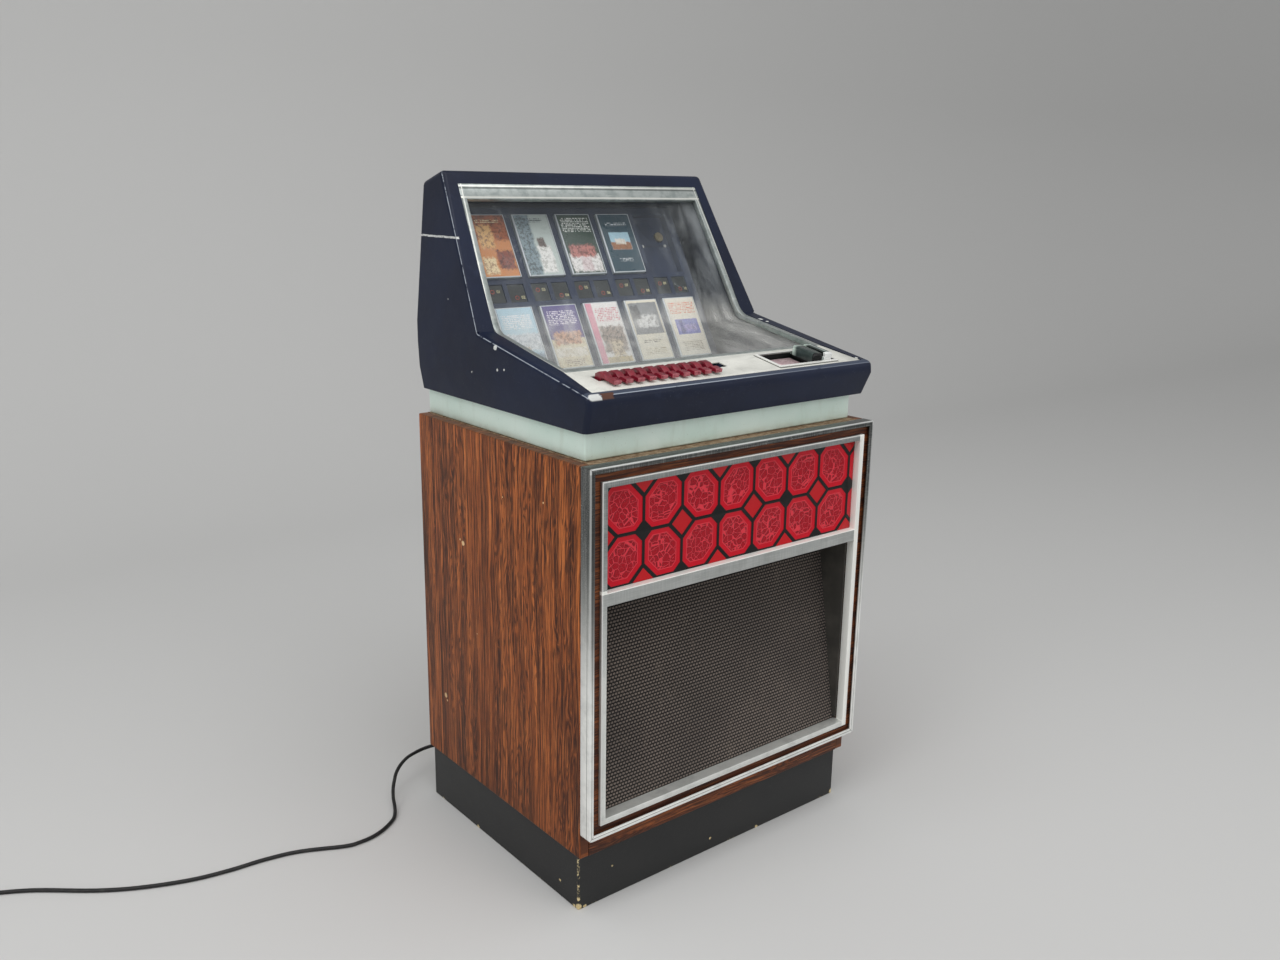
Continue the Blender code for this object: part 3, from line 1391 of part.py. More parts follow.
# The lead's free route from its gland: right and back of the gland's tip, and the height of its middle
lead_route = [
    (0.000, 0.000, 0.0520), (0.000, 0.006, 0.0520), (0.000, 0.013, 0.0519), (-0.005, 0.023, 0.0513),
    (-0.017, 0.032, 0.0502), (-0.034, 0.035, 0.0488), (-0.052, 0.034, 0.0470), (-0.070, 0.030, 0.0450),
    (-0.087, 0.022, 0.0410), (-0.102, 0.011, 0.0350), (-0.114, -0.003, 0.0275), (-0.123, -0.016, 0.0205),
    (-0.130, -0.030, 0.0135), (-0.135, -0.044, 0.0080), (-0.142, -0.059, 0.0045), (-0.152, -0.073, 0.0033),
    (-0.167, -0.085, 0.0033), (-0.184, -0.095, 0.0033), (-0.204, -0.102, 0.0033), (-0.227, -0.104, 0.0033),
    (-0.251, -0.100, 0.0033), (-0.312, -0.071, 0.0033), (-0.363, -0.059, 0.0033), (-0.418, -0.054, 0.0033),
    (-0.473, -0.043, 0.0033), (-0.538, -0.017, 0.0033), (-0.593, 0.016, 0.0033), (-0.660, 0.069, 0.0033),
    (-0.705, 0.096, 0.0033), (-0.740, 0.112, 0.0033), (-0.7535, 0.1180, 0.0033), (-0.7626, 0.1220, 0.0033),
]


def gland_tip():
    back = depth_in(cabinet_depth - base_back_inset) + seat_gap
    return Vector((gland_x, back + gland_length + seat_gap, 0.0))


def smooth_route(points, step):
    """Reads a smooth curve through the points at even steps, ends included."""
    guides = [points[0] * 2 - points[1], *points, points[-1] * 2 - points[-2]]
    fine = []
    for a, b, c, d in zip(guides, guides[1:], guides[2:], guides[3:]):
        for i in range(turn_points):
            t = i / turn_points
            fine.append(((b * 2) + (c - a) * t + (a * 2 - b * 5 + c * 4 - d) * t ** 2
                         + (b * 3 - a - c * 3 + d) * t ** 3) / 2)
    fine.append(points[-1])
    lengths = [0.0]
    for a, b in zip(fine, fine[1:]):
        lengths.append(lengths[-1] + (b - a).length)
    count = round(lengths[-1] / step)
    route, k = [], 0
    for i in range(count + 1):
        target = lengths[-1] * i / count
        while k < len(fine) - 2 and lengths[k + 1] < target:
            k += 1
        share = (target - lengths[k]) / (lengths[k + 1] - lengths[k])
        route.append(fine[k].lerp(fine[k + 1], share))
    return route, lengths[-1]


def tube(name, points, radius, resolution, material):
    curve = bpy.data.curves.new(name, "CURVE")
    curve.dimensions = "3D"
    curve.bevel_depth = radius
    curve.bevel_resolution = resolution
    curve.use_fill_caps = True
    spline = curve.splines.new("POLY")
    spline.points.add(len(points) - 1)
    for point, place in zip(spline.points, points):
        point.co = (*place, 1.0)
    curve.materials.append(material)
    item = bpy.data.objects.new(name, curve)
    parts.objects.link(item)
    return item


def coil_points(start, along):
    """One unbroken run: in along the floor, up a layer in the half turn where it turns, and out again."""
    across = Vector((-along.y, along.x, 0.0))
    outer = coil_middle_radius + coil_pitch * coil_layer_turns / 2
    first = start + along * cord_diameter
    centre = first + across * outer
    run = [start, first]
    count = round(2 * coil_layer_turns * turn_points)
    for i in range(1, count + 1):
        turn = i / turn_points
        radius = outer - coil_pitch * (coil_layer_turns - abs(turn - coil_layer_turns))
        climb = min(max(2 * (turn - coil_layer_turns) + 0.5, 0.0), 1.0)
        height = coil_pitch * (3 - 2 * climb) * climb ** 2
        angle = 2 * math.pi * turn
        run.append(centre - across * (radius * math.cos(angle)) + along * (radius * math.sin(angle))
                   + Vector((0.0, 0.0, height)))
    run.append(run[-1] + along * coil_end_run)
    return run


def least_gap(points, radius):
    """The least distance between two turns of a tube, less its thickness."""
    spaced = points[::2]
    apart = turn_points // 4
    return min((a - b).length for i, a in enumerate(spaced) for b in spaced[i + apart:]) - 2 * radius


def make_cord(look):
    radius = cord_diameter / 2
    tip = gland_tip()
    board = tip.y - gland_length - seat_gap
    profile = [(0.0, gland_length), (gland_tip_radius, gland_length), (gland_radius, gland_flange),
               (gland_flange_radius, gland_flange), (gland_flange_radius, 0.0), (0.0, 0.0)]
    turned("cord_gland", profile, frame_matrix((gland_x, board, gland_height), (1, 0, 0), (0, 0, -1)),
           look["cord_rubber"], small_steps)
    guides = [tip + Vector((x, y, z)) for x, y, z in lead_route]
    route, free_length = smooth_route(guides, cord_step)
    tube("cord", route, radius, 2, look["cord_rubber"])
    along = (guides[-1] - guides[-2]).normalized()
    coil = coil_points(guides[-1] + along * seat_gap, along)
    tube("cord_coil", coil, radius, 1, look["cord_rubber"])
    coil_length = sum((b - a).length for a, b in zip(coil, coil[1:]))
    print("cord: free %.3f m, coil %.3f m, least gap in the coil %.2f mm"
          % (free_length, coil_length, least_gap(coil, radius) * 1000))
    make_plug(look, coil[-1] + along * seat_gap, along)


def make_plug(look, place, along):
    """A moulded two-blade plug that lies beside the coil."""
    frame = frame_matrix(place, Vector((0, 0, 1)).cross(along), (0, 0, 1))
    half_height = place.z - seat_gap
    neck_end = plug_neck_length + plug_round
    body_end = plug_neck_length + plug_body_length
    body = block("plug", (-plug_width / 2, -half_height, plug_neck_length),
                 (plug_width / 2, half_height, body_end), look["cord_rubber"], frame)
    round_edges(body, plug_round, 2)
    bm = bmesh.new()
    add_cylinder(bm, (0.0, 0.0, neck_end / 2), "Z", plug_neck_tip, neck_end, small_steps, plug_neck_root)
    neck = finish_mesh(bm, "plug_neck", look["cord_rubber"], frame, cutters)
    blades = bmesh.new()
    for side in (-1, 1):
        x = side * blade_spacing / 2
        add_box(blades, (x - blade_thickness / 2, -blade_width / 2, body_end - plug_round),
                (x + blade_thickness / 2, blade_width / 2, body_end + blade_length))
    join_to(body, neck, finish_mesh(blades, "plug_blades", look["brass"], frame, cutters))


def main():
    for item in list(bpy.data.objects):
        bpy.data.objects.remove(item)
    for collection in (parts, cutters):
        bpy.context.scene.collection.children.link(collection)
    look = make_materials()
    make_base(look)
    make_carcass(look)
    make_outer_frame(look)
    make_fascia(look)
    make_inner_frame(look)
    make_light(look)
    make_speakers(look)
    make_inside(look)
    make_back_door(look)
    make_pedestal(look)
    make_shell(look)
    make_window(look)
    make_panel(look)
    make_keys(look)
    make_coin_unit(look)
    make_rack(look)
    make_player(look)
    make_lid_hinge(look)
    make_cord(look)


main()
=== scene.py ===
"""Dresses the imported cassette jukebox: laminate sides, pitted aluminium, red lattice light, moulded head."""

import json
import math

import bmesh
import bpy
from mathutils import Matrix, Vector


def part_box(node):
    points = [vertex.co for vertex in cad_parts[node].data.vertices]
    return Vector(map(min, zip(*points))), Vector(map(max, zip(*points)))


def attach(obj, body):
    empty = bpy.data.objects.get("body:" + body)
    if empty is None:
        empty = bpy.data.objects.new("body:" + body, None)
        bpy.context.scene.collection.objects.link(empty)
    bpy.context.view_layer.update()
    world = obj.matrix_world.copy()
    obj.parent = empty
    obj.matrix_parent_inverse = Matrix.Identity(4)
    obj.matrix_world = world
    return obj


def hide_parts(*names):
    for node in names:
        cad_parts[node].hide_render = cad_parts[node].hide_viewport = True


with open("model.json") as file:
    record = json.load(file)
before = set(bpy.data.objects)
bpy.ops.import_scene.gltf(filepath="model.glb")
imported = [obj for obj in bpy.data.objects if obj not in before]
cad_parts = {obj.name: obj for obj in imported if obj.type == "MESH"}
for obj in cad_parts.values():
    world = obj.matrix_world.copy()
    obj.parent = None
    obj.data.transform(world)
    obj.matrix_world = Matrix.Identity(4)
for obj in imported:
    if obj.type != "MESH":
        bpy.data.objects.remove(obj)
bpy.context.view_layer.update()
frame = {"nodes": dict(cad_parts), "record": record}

# Places shared with the part's source, in metres
wood_front = -0.21215
half_width = 0.280
board_inner_half = 0.2645
base_half = 0.274
base_front = wood_front + 0.012
carcass_foot = 0.0923
carcass_top = 0.672
opening_half = 0.251
crossbar_top = 0.4965
pedestal_top = 0.712
lip_in = -0.0135
lip_height = 0.7662
bend_in = 0.25463
bend_height = 0.8187
crest_in = 0.3835
crest_height = 1.0474
head_half = 0.279
head_half_foot = 0.2745
head_half_crest = 0.258
side_lean = 0.0923
belly_height = lip_height - 0.018
shoulder_height = pedestal_top + 0.108
rack_in = 0.27713
rack_foot_height = 0.7487
rack_lean = math.radians(30)
bay_pitch = 0.0841
row_rise = 0.1595
case_height = 0.109
lower_slope = math.atan2(bend_height - lip_height, bend_in - lip_in)
upper_slope = math.atan2(crest_in - bend_in, crest_height - bend_height)


# The camera stands where the photograph was taken
camera_turn = (39.178, -14.490, 0.883)
camera_place = (-1.1257, -1.37285, 1.0258)
camera_lens = 31.87


def new_object(name, data):
    made = bpy.data.objects.new(name, data)
    bpy.context.scene.collection.objects.link(made)
    return made


def stand_camera():
    yaw, pitch, roll = (math.radians(a) for a in camera_turn)
    ahead = Vector((math.sin(yaw) * math.cos(pitch), math.cos(yaw) * math.cos(pitch), math.sin(pitch)))
    level = Vector((math.cos(yaw), -math.sin(yaw), 0.0))
    upright = level.cross(ahead)
    right = level * math.cos(roll) + upright * math.sin(roll)
    up = upright * math.cos(roll) - level * math.sin(roll)
    data = bpy.data.cameras.new("photograph_view")
    data.lens = camera_lens
    data.sensor_width = 36.0
    camera = new_object("photograph_view", data)
    turn = Matrix((right, up, -ahead)).transposed().to_4x4()
    camera.matrix_world = Matrix.Translation(camera_place) @ turn
    bpy.context.scene.camera = camera


stand_camera()

# The mains lead: out of the gland, down to the floor, away to the left, and wound up past the view
cord_diameter = 0.0060
cord_exit = Vector((-0.222, 0.25745, 0.0))
lead_route = [
    (0.000, 0.000, 0.0520), (0.000, 0.006, 0.0520), (0.000, 0.013, 0.0519), (-0.005, 0.023, 0.0513),
    (-0.017, 0.032, 0.0502), (-0.034, 0.035, 0.0488), (-0.052, 0.034, 0.0470), (-0.070, 0.030, 0.0450),
    (-0.087, 0.022, 0.0410), (-0.102, 0.011, 0.0350), (-0.114, -0.003, 0.0275), (-0.123, -0.016, 0.0205),
    (-0.130, -0.030, 0.0135), (-0.135, -0.044, 0.0080), (-0.142, -0.059, 0.0045), (-0.152, -0.073, 0.0033),
    (-0.167, -0.085, 0.0033), (-0.184, -0.095, 0.0033), (-0.204, -0.102, 0.0033), (-0.227, -0.104, 0.0033),
    (-0.251, -0.100, 0.0033), (-0.312, -0.071, 0.0033), (-0.363, -0.059, 0.0033), (-0.418, -0.054, 0.0033),
    (-0.473, -0.043, 0.0033), (-0.538, -0.017, 0.0033), (-0.593, 0.016, 0.0033), (-0.660, 0.069, 0.0033),
    (-0.705, 0.096, 0.0033), (-0.740, 0.112, 0.0033), (-0.7535, 0.1180, 0.0033), (-0.7626, 0.1220, 0.0033),
]
coil_radius = 0.036
coil_pitch = 0.0068
coil_layer_turns = 3.5
coil_steps = 24


def rounded_route(points, steps):
    """Fills in a smooth curve between the points of a route."""
    guides = [points[0] * 2 - points[1], *points, points[-1] * 2 - points[-2]]
    fine = []
    for a, b, c, d in zip(guides, guides[1:], guides[2:], guides[3:]):
        for i in range(steps):
            t = i / steps
            fine.append(((b * 2) + (c - a) * t + (a * 2 - b * 5 + c * 4 - d) * t ** 2
                         + (b * 3 - a - c * 3 + d) * t ** 3) / 2)
    return [*fine, points[-1]]


def wound_coil(start, along):
    """Two layers of turns on the floor: in to the middle, up, and out again."""
    across = Vector((-along.y, along.x, 0.0))
    outer = coil_radius + coil_pitch * coil_layer_turns / 2
    first = start + along * cord_diameter
    centre = first + across * outer
    run = [first]
    for i in range(1, round(2 * coil_layer_turns * coil_steps) + 1):
        turn = i / coil_steps
        radius = outer - coil_pitch * (coil_layer_turns - abs(turn - coil_layer_turns))
        climb = min(max(2 * (turn - coil_layer_turns) + 0.5, 0.0), 1.0)
        angle = 2 * math.pi * turn
        run.append(centre - across * (radius * math.cos(angle)) + along * (radius * math.sin(angle))
                   + Vector((0.0, 0.0, coil_pitch * (3 - 2 * climb) * climb ** 2)))
    return [*run, run[-1] + along * 0.040]


def mesh_of(curve):
    """The mesh that a curve or a text makes."""
    made = new_object(curve.name, curve)
    mesh = bpy.data.meshes.new_from_object(made.evaluated_get(bpy.context.evaluated_depsgraph_get()))
    bpy.data.objects.remove(made)
    return mesh


def lay_cord():
    guides = [cord_exit + Vector(place) for place in lead_route]
    along = (guides[-1] - guides[-2]).normalized()
    route = rounded_route(guides, 6) + wound_coil(guides[-1] + along * 0.0003, along)
    curve = bpy.data.curves.new("lead_route", "CURVE")
    curve.dimensions = "3D"
    curve.bevel_depth = cord_diameter / 2
    curve.bevel_resolution = 3
    curve.use_fill_caps = True
    spline = curve.splines.new("POLY")
    spline.points.add(len(route) - 1)
    for point, place in zip(spline.points, route):
        point.co = (*place, 1.0)
    lead = new_object("mains_lead", mesh_of(curve))
    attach(lead, "cabinet")
    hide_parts("cord", "cord_coil")
    length = sum((b - a).length for a, b in zip(route, route[1:]))
    return lead


mains_lead = lay_cord()


# Finishes: numbers over the surface are written as sums
class Wire:
    """A number on its way between two sockets; arithmetic on it adds Math nodes."""

    def __init__(self, finish, socket):
        self.finish = finish
        self.socket = socket

    def worked(self, operation, *others, clamp=False):
        sockets = dict(enumerate((self, *others)))
        return self.finish.node("ShaderNodeMath", {"operation": operation, "use_clamp": clamp}, sockets)

    def __add__(self, other):
        return self.worked("ADD", other)

    def __sub__(self, other):
        return self.worked("SUBTRACT", other)

    def __rsub__(self, other):
        settings = {"operation": "SUBTRACT"}
        return self.finish.node("ShaderNodeMath", settings, {0: other, 1: self})

    def __mul__(self, other):
        return self.worked("MULTIPLY", other)

    def __truediv__(self, other):
        return self.worked("DIVIDE", other)

    def __abs__(self):
        return self.worked("ABSOLUTE")

    def __gt__(self, other):
        return self.worked("GREATER_THAN", other)

    def __lt__(self, other):
        return self.worked("LESS_THAN", other)

    def __and__(self, other):
        return self.worked("MINIMUM", other)

    def __or__(self, other):
        return self.worked("MAXIMUM", other)

    def __mod__(self, other):
        return self.worked("FLOORED_MODULO", other)

    __radd__ = __add__
    __rmul__ = __mul__

    def rising(self, low, high):
        """0 below low, 1 above high, smooth between; high may be below low."""
        sockets = {"Value": self, "From Min": low, "From Max": high}
        return self.finish.node("ShaderNodeMapRange", {"interpolation_type": "SMOOTHSTEP"}, sockets)

    def line(self, place, far, near):
        """1 on a line at this place, fading out between near and far either side."""
        return abs(self - place).rising(far, near)

    def within(self, low, high, soft):
        """1 between low and high, fading over soft at each end."""
        return abs(self - (low + high) / 2).rising((high - low) / 2 + soft / 2, (high - low) / 2 - soft / 2)


def tone(red, green, blue):
    """A colour as a screen shows it, from 0 to 255, made linear."""
    shares = [c / 255 for c in (red, green, blue)]
    return (*[c / 12.92 if c <= 0.04045 else ((c + 0.055) / 1.055) ** 2.4 for c in shares], 1.0)


class Finish:
    """One material: its pattern is measured in metres in the whole machine's frame."""

    def __init__(self, name, **fixed):
        self.material = bpy.data.materials.new(name)
        self.material.use_nodes = True
        self.tree = self.material.node_tree
        self.shader = self.tree.nodes["Principled BSDF"]
        self.colour = None
        for label, value in fixed.items():
            self.shader.inputs[label.replace("_", " ")].default_value = value
        self.place = self.node("ShaderNodeTexCoord", {}, {}, "Object")
        self.x, self.y, self.z = self.split(self.place)

    def node(self, kind, settings, sockets, out=0):
        made = self.tree.nodes.new(kind)
        stops = settings.get("stops")
        for label, value in settings.items():
            if label != "stops":
                setattr(made, label, value)
        if stops:
            ramp = made.color_ramp
            while len(ramp.elements) < len(stops):
                ramp.elements.new(0.5)
            for element, (position, colour) in zip(ramp.elements, stops):
                element.position = position
                element.color = colour
        for label, value in sockets.items():
            if isinstance(value, Wire):
                self.tree.links.new(value.socket, made.inputs[label])
            else:
                made.inputs[label].default_value = value
        return Wire(self, made.outputs[out])

    def split(self, vector):
        parts = self.node("ShaderNodeSeparateXYZ", {}, {0: vector})
        outputs = parts.socket.node.outputs
        return [Wire(self, outputs[i]) for i in range(3)]

    def joined(self, x, y, z):
        return self.node("ShaderNodeCombineXYZ", {}, {0: x, 1: y, 2: z})

    def stretched(self, scale):
        return self.node("ShaderNodeVectorMath", {"operation": "MULTIPLY"}, {0: self.place, 1: scale})

    def noise(self, scale, detail=3.0, rough=0.5, warp=0.0, stretch=(1.0, 1.0, 1.0), where=None):
        where = where or self.stretched(stretch)
        sockets = {"Vector": where, "Scale": scale, "Detail": detail, "Roughness": rough, "Distortion": warp}
        return self.node("ShaderNodeTexNoise", {}, sockets)

    def cells(self, scale, feature="F1", where=None, out="Distance", random=1.0):
        sockets = {"Vector": where or self.place, "Scale": scale, "Randomness": random}
        return self.node("ShaderNodeTexVoronoi", {"feature": feature}, sockets, out)

    def blend(self, mask, under, over, way="MIX"):
        settings = {"data_type": "RGBA", "blend_type": way}
        return self.node("ShaderNodeMix", settings, {0: mask, 6: under, 7: over}, 2)

    def lay(self, mask, *over):
        """Lays a tone over the finish's colour where the mask is 1."""
        self.colour = self.blend(mask, self.colour, tone(*over) if len(over) == 3 else over[0])

    def ramp(self, value, *stops):
        """Each stop is a position and a tone's three numbers."""
        stops = [(position, tone(*shade)) for position, *shade in stops]
        return self.node("ShaderNodeValToRGB", {"stops": stops}, {0: value})

    def chips(self, rag, *chips):
        """1 inside ragged chips; each chip is its place and its radius."""
        ragged = (self.noise(420.0, 3.0, 0.6) - 0.5) * rag
        mask = None
        for *place, radius in chips:
            ends = {0: self.place, 1: place}
            away = self.node("ShaderNodeVectorMath", {"operation": "DISTANCE"}, ends, "Value")
            spot = (away + ragged).rising(radius * 1.15, radius * 0.85)
            mask = spot if mask is None else mask | spot
        return mask

    def set(self, **links):
        """Links the finish's colour, and what else is given, to the shader."""
        for label, value in {"Base_Color": self.colour, **links}.items():
            socket = self.shader.inputs[label.replace("_", " ")]
            if isinstance(value, Wire):
                self.tree.links.new(value.socket, socket)
            else:
                socket.default_value = value
        return self

    def grain(self, scale, depth):
        return self.relief(self.noise(scale, 2.0, 0.5), depth)

    def relief(self, height, depth, strength=1.0):
        """Raises the surface by up to this depth where the height is 1."""
        sockets = {"Strength": strength, "Distance": depth, "Height": height}
        if self.shader.inputs["Normal"].is_linked:
            sockets["Normal"] = Wire(self, self.shader.inputs["Normal"].links[0].from_socket)
        bump = self.node("ShaderNodeBump", {}, sockets)
        self.tree.links.new(bump.socket, self.shader.inputs["Normal"])
        return self


# Wood laminate
def rosewood(name, along, across, slab_shift=0.0):
    """Printed rosewood: orange and brown bands, long dark lines, and pointed flames in the dark bands."""
    f = Finish(name, Specular_IOR_Level=0.22)
    axes = (f.x, f.y, f.z)
    run, side = axes[along], axes[across] + slab_shift
    sway = f.noise(11.0, 2.0, 0.5, where=f.joined(side * 0.6, run * 0.45, 7.0)) - 0.5
    ripple = f.noise(70.0, 2.0, 0.5, where=f.joined(side * 0.5, run * 0.60, 2.0)) - 0.5
    grain = side + sway * 0.016 + ripple * 0.0016
    bands = f.noise(62.0, 3.0, 0.6, where=f.joined(grain, run * 0.022, 0.0))
    figure = f.noise(44.0, 2.0, 0.5, 0.1, where=f.joined(grain, run * 0.13, 3.7))
    rings = abs((figure * 15.0) % 1.0 - 0.5) * 2.0
    lines = f.noise(210.0, 3.0, 0.6, where=f.joined(grain, run * 0.010, 4.4))
    streaks = f.noise(460.0, 4.0, 0.7, where=f.joined(grain, run * 0.022, 1.3))
    pores = f.noise(1000.0, 2.0, 0.6, where=f.joined(side, run * 0.06, 5.1))
    mixed = bands * 0.80 + figure * 0.20
    warm = f.ramp(mixed, (0.38, 84, 45, 24), (0.46, 122, 63, 30), (0.53, 160, 86, 41), (0.63, 194, 110, 54))
    dark = tone(40, 20, 14)
    figured = f.noise(15.0, 2.0, 0.5, where=f.joined(grain, run * 0.05, 8.8)).rising(0.46, 0.56)
    flame = rings.rising(0.50, 0.22) * (figured * 0.85 + 0.15)
    f.colour = f.blend(lines.rising(0.54, 0.59) * (0.85 - figured * 0.30), warm, dark)
    f.lay(flame * 0.66, dark)
    f.lay(rings.rising(0.70, 0.95) * figured * 0.45, 184, 102, 52)
    f.lay(streaks.rising(0.50, 0.58) * 0.74, 50, 25, 16)
    f.lay(streaks.rising(0.46, 0.37) * 0.50, 220, 134, 72)
    f.lay(pores.rising(0.56, 0.68) * 0.50, 40, 22, 18)
    f.set(Roughness=streaks * 0.16 + 0.38)
    f.relief(pores.rising(0.70, 0.54), 0.00006)
    return f


def pressed_chips(f):
    """Pale flakes of pressed wood, and the fine noise over them."""
    shade = f.split(f.cells(190.0, out="Color"))[0]
    fine = f.noise(500.0, 3.0, 0.6)
    flakes = f.ramp(shade * 0.7 + fine * 0.3, (0.15, 122, 98, 74), (0.5, 150, 124, 98), (0.85, 172, 150, 124))
    return flakes, fine


def side_laminate():
    """Rosewood outside, knocked pale in places, and raw board on the inner faces."""
    f = rosewood("rosewood_laminate", 2, 1)
    left, right = -half_width, half_width
    knocks = f.chips(0.003, (left, 0.096, 0.488, 0.0040), (left, 0.105, 0.492, 0.0015),
                     (left, 0.1645, 0.207, 0.0040), (left, 0.160, 0.199, 0.0016),
                     (left, -0.125, 0.603, 0.0012), (left, -0.020, 0.588, 0.0011),
                     (left, 0.060, 0.350, 0.0010), (right, 0.105, 0.320, 0.0030),
                     (right, -0.090, 0.560, 0.0022), (right, 0.020, 0.150, 0.0025))
    f.lay(knocks, 222, 188, 140)
    foot = f.z.rising(carcass_foot + 0.004, carcass_foot + 0.0005)
    f.lay((foot | f.z.rising(carcass_top - 0.0025, carcass_top)) * 0.55, 96, 66, 48)
    # Dirt in patches near the floor, and a painted shade darkening the lower half of the side
    grime = f.z.rising(0.24, 0.10) * f.noise(9.0, 3.0, 0.6).rising(0.35, 0.75)
    f.lay(grime * 0.35 + f.z.rising(0.48, 0.26) * 0.12, 58, 40, 34)
    f.lay(abs(f.x) < board_inner_half, pressed_chips(f)[0])
    return f.set()


def rail_laminate():
    f = rosewood("rosewood_rail", 0, 2, 0.31)
    # Painted shade: the front rail's rosewood darker at its foot and darkened throughout
    f.lay(f.z.rising(carcass_foot + 0.006, carcass_foot) * 0.5, 40, 26, 22)
    f.lay(0.42, 58, 32, 24)
    return f.set()


def walnut_strip():
    f = rosewood("walnut_strip", 0, 2, 0.77)
    f.lay(0.62, 46, 24, 20)
    return f.set(Roughness=0.34)


def base_paint():
    """Semi-matt black, rubbed grey at the edges and knocked through to pale wood at the front corner."""
    f = Finish("base_black_paint", Specular_IOR_Level=0.5)
    cloud = f.noise(14.0, 4.0, 0.6)
    dust = f.noise(900.0, 2.0, 0.5)
    f.colour = f.ramp(cloud, (0.3, 22, 23, 24), (0.7, 32, 32, 32))
    f.lay(dust.rising(0.66, 0.74) * 0.35, 120, 118, 112)
    front, left, right = base_front, -base_half, base_half
    rag = f.noise(260.0, 4.0, 0.7)
    corner = (abs(f.x - left) + abs(f.y - front)).rising(0.0045, 0.001)
    worn = corner * rag.rising(0.50, 0.58) * f.noise(46.0, 2.0, 0.5).rising(0.45, 0.60)
    foot = f.z.rising(0.005, 0.0012) * rag.rising(0.57, 0.63) * f.noise(22.0, 2.0, 0.5).rising(0.52, 0.62)
    spots = f.chips(0.006, (left, front, 0.004, 0.006), (left, front, 0.018, 0.0032),
                    (left, front, 0.040, 0.0020), (left, front + 0.010, 0.002, 0.003),
                    (left + 0.012, front, 0.002, 0.003), (left, -0.154, 0.026, 0.0022),
                    (-0.014, front, 0.020, 0.0020), (-0.212, front, 0.049, 0.0013),
                    (0.090, front, 0.002, 0.003), (left, 0.08, 0.002, 0.003),
                    (right, front, 0.004, 0.005), (0.020, front, 0.086, 0.0016))
    bare = worn | foot | spots
    f.lay(bare, f.ramp(rag, (0.4, 196, 172, 120), (0.6, 226, 208, 160)))
    scuffs = f.noise(30.0, 4.0, 0.7, 0.3, stretch=(1.0, 1.0, 6.0)).rising(0.62, 0.80)
    f.lay(scuffs * 0.3, 84, 82, 78)
    f.set(Roughness=cloud * 0.18 + 0.42)
    f.relief(1.0 - bare, 0.0004)
    f.grain(340.0, 0.00007)
    return f


def aluminium(name, top=(78, 81, 80), foot=(246, 247, 243), shine=0.80):
    """Anodised bar: pitted at the top, with fine drawn lines, and a painted floor reflection that makes it
    greyer at the top and whiter lower down.
    """
    f = Finish(name, Specular_IOR_Level=0.5)
    # Painted reflection of the bright floor: colour runs from the top tone to the foot tone, and the metal
    # dulls lower down
    height = f.z.rising(0.60, 0.30)
    upright, level = (f.noise(620.0, 3.0, 0.6, stretch=way) for way in ((1.0, 1.0, 0.03), (0.03, 1.0, 1.0)))
    drawn = upright * 0.5 + level * 0.5
    cloud = f.noise(26.0, 4.0, 0.62)
    f.colour = f.blend(height, tone(*top), tone(*foot))
    f.lay(cloud.rising(0.42, 0.72) * 0.30, 112, 114, 112)
    f.lay(drawn.rising(0.44, 0.60) * 0.16, 245, 245, 242)
    pits = f.cells(300.0).rising(0.16, 0.08) * f.noise(60.0, 3.0, 0.6).rising(0.50, 0.62)
    wear = f.z.rising(0.40, 0.62) * 0.75 + 0.18
    f.lay(pits * wear, 92, 94, 92)
    sparks = f.cells(330.0, where=f.stretched((1.0, 1.0, 0.6))).rising(0.17, 0.09)
    sparks = sparks * f.noise(90.0, 2.0, 0.5).rising(0.50, 0.58) * f.z.rising(0.45, 0.60)
    f.lay(sparks * 0.8, 246, 248, 246)
    f.set(Metallic=shine - height * 0.50, Roughness=cloud * 0.16 + drawn * 0.12 + 0.24)
    f.relief(1.0 - (pits * wear), 0.00010)
    return f


frame_bar = 0.017
frame_foot_bar = 0.145
frame_groove = 0.0065
frame_rim_line = 0.0046


def frame_metal():
    """The outer frame: mitred corners, painted highlights along its arrises, and a groove along its sides
    darkened as painted shade.
    """
    f = aluminium("frame_aluminium")
    low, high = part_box("outer_frame")
    from_side, proud = half_width - abs(f.x), f.y - low[1]
    top_mitre = abs(from_side - (carcass_top - f.z)).rising(0.0007, 0.0003) * (f.z > carcass_top - frame_bar)
    foot_mitre = abs(from_side - (f.z - low[2])).rising(0.0007, 0.0003) * (f.z < frame_foot_bar)
    mitre = top_mitre | foot_mitre
    rim = from_side & (high[2] - f.z) & (f.z - low[2])
    arris_highlight = (rim + proud).rising(0.0026, 0.0012)
    back = (high[1] - f.y).rising(0.0016, 0.0007) * (f.z > high[2] - 0.002)
    groove = proud.line(frame_groove, 0.0009, 0.0004) | rim.line(frame_rim_line, 0.0009, 0.0004)
    # Painted shade in the groove along the sides and in the line near the rim
    f.lay(groove * 0.55, 52, 54, 54)
    grimy = f.z.rising(high[2] - 0.004, high[2]) * f.noise(70.0, 4.0, 0.7).rising(0.45, 0.65)
    f.lay(grimy * 0.35, 96, 94, 88)
    upright = from_side.rising(0.0095, 0.0088) * (f.z < high[2] - 0.0075)
    shaded = upright * proud.rising(0.0012, 0.0004) * (f.x < 0.0) * f.z.rising(0.30, 0.50)
    f.lay(shaded * 0.60, 48, 48, 50)
    # Painted highlight along the arrises, weaker down the uprights
    f.lay(arris_highlight * (0.85 - upright * 0.35), 238, 240, 238)
    f.lay(back * 0.8, 222, 214, 196)
    f.lay(mitre * 0.6, 70, 70, 70)
    f.set()
    return f.relief(1.0 - (mitre | groove), 0.0003)


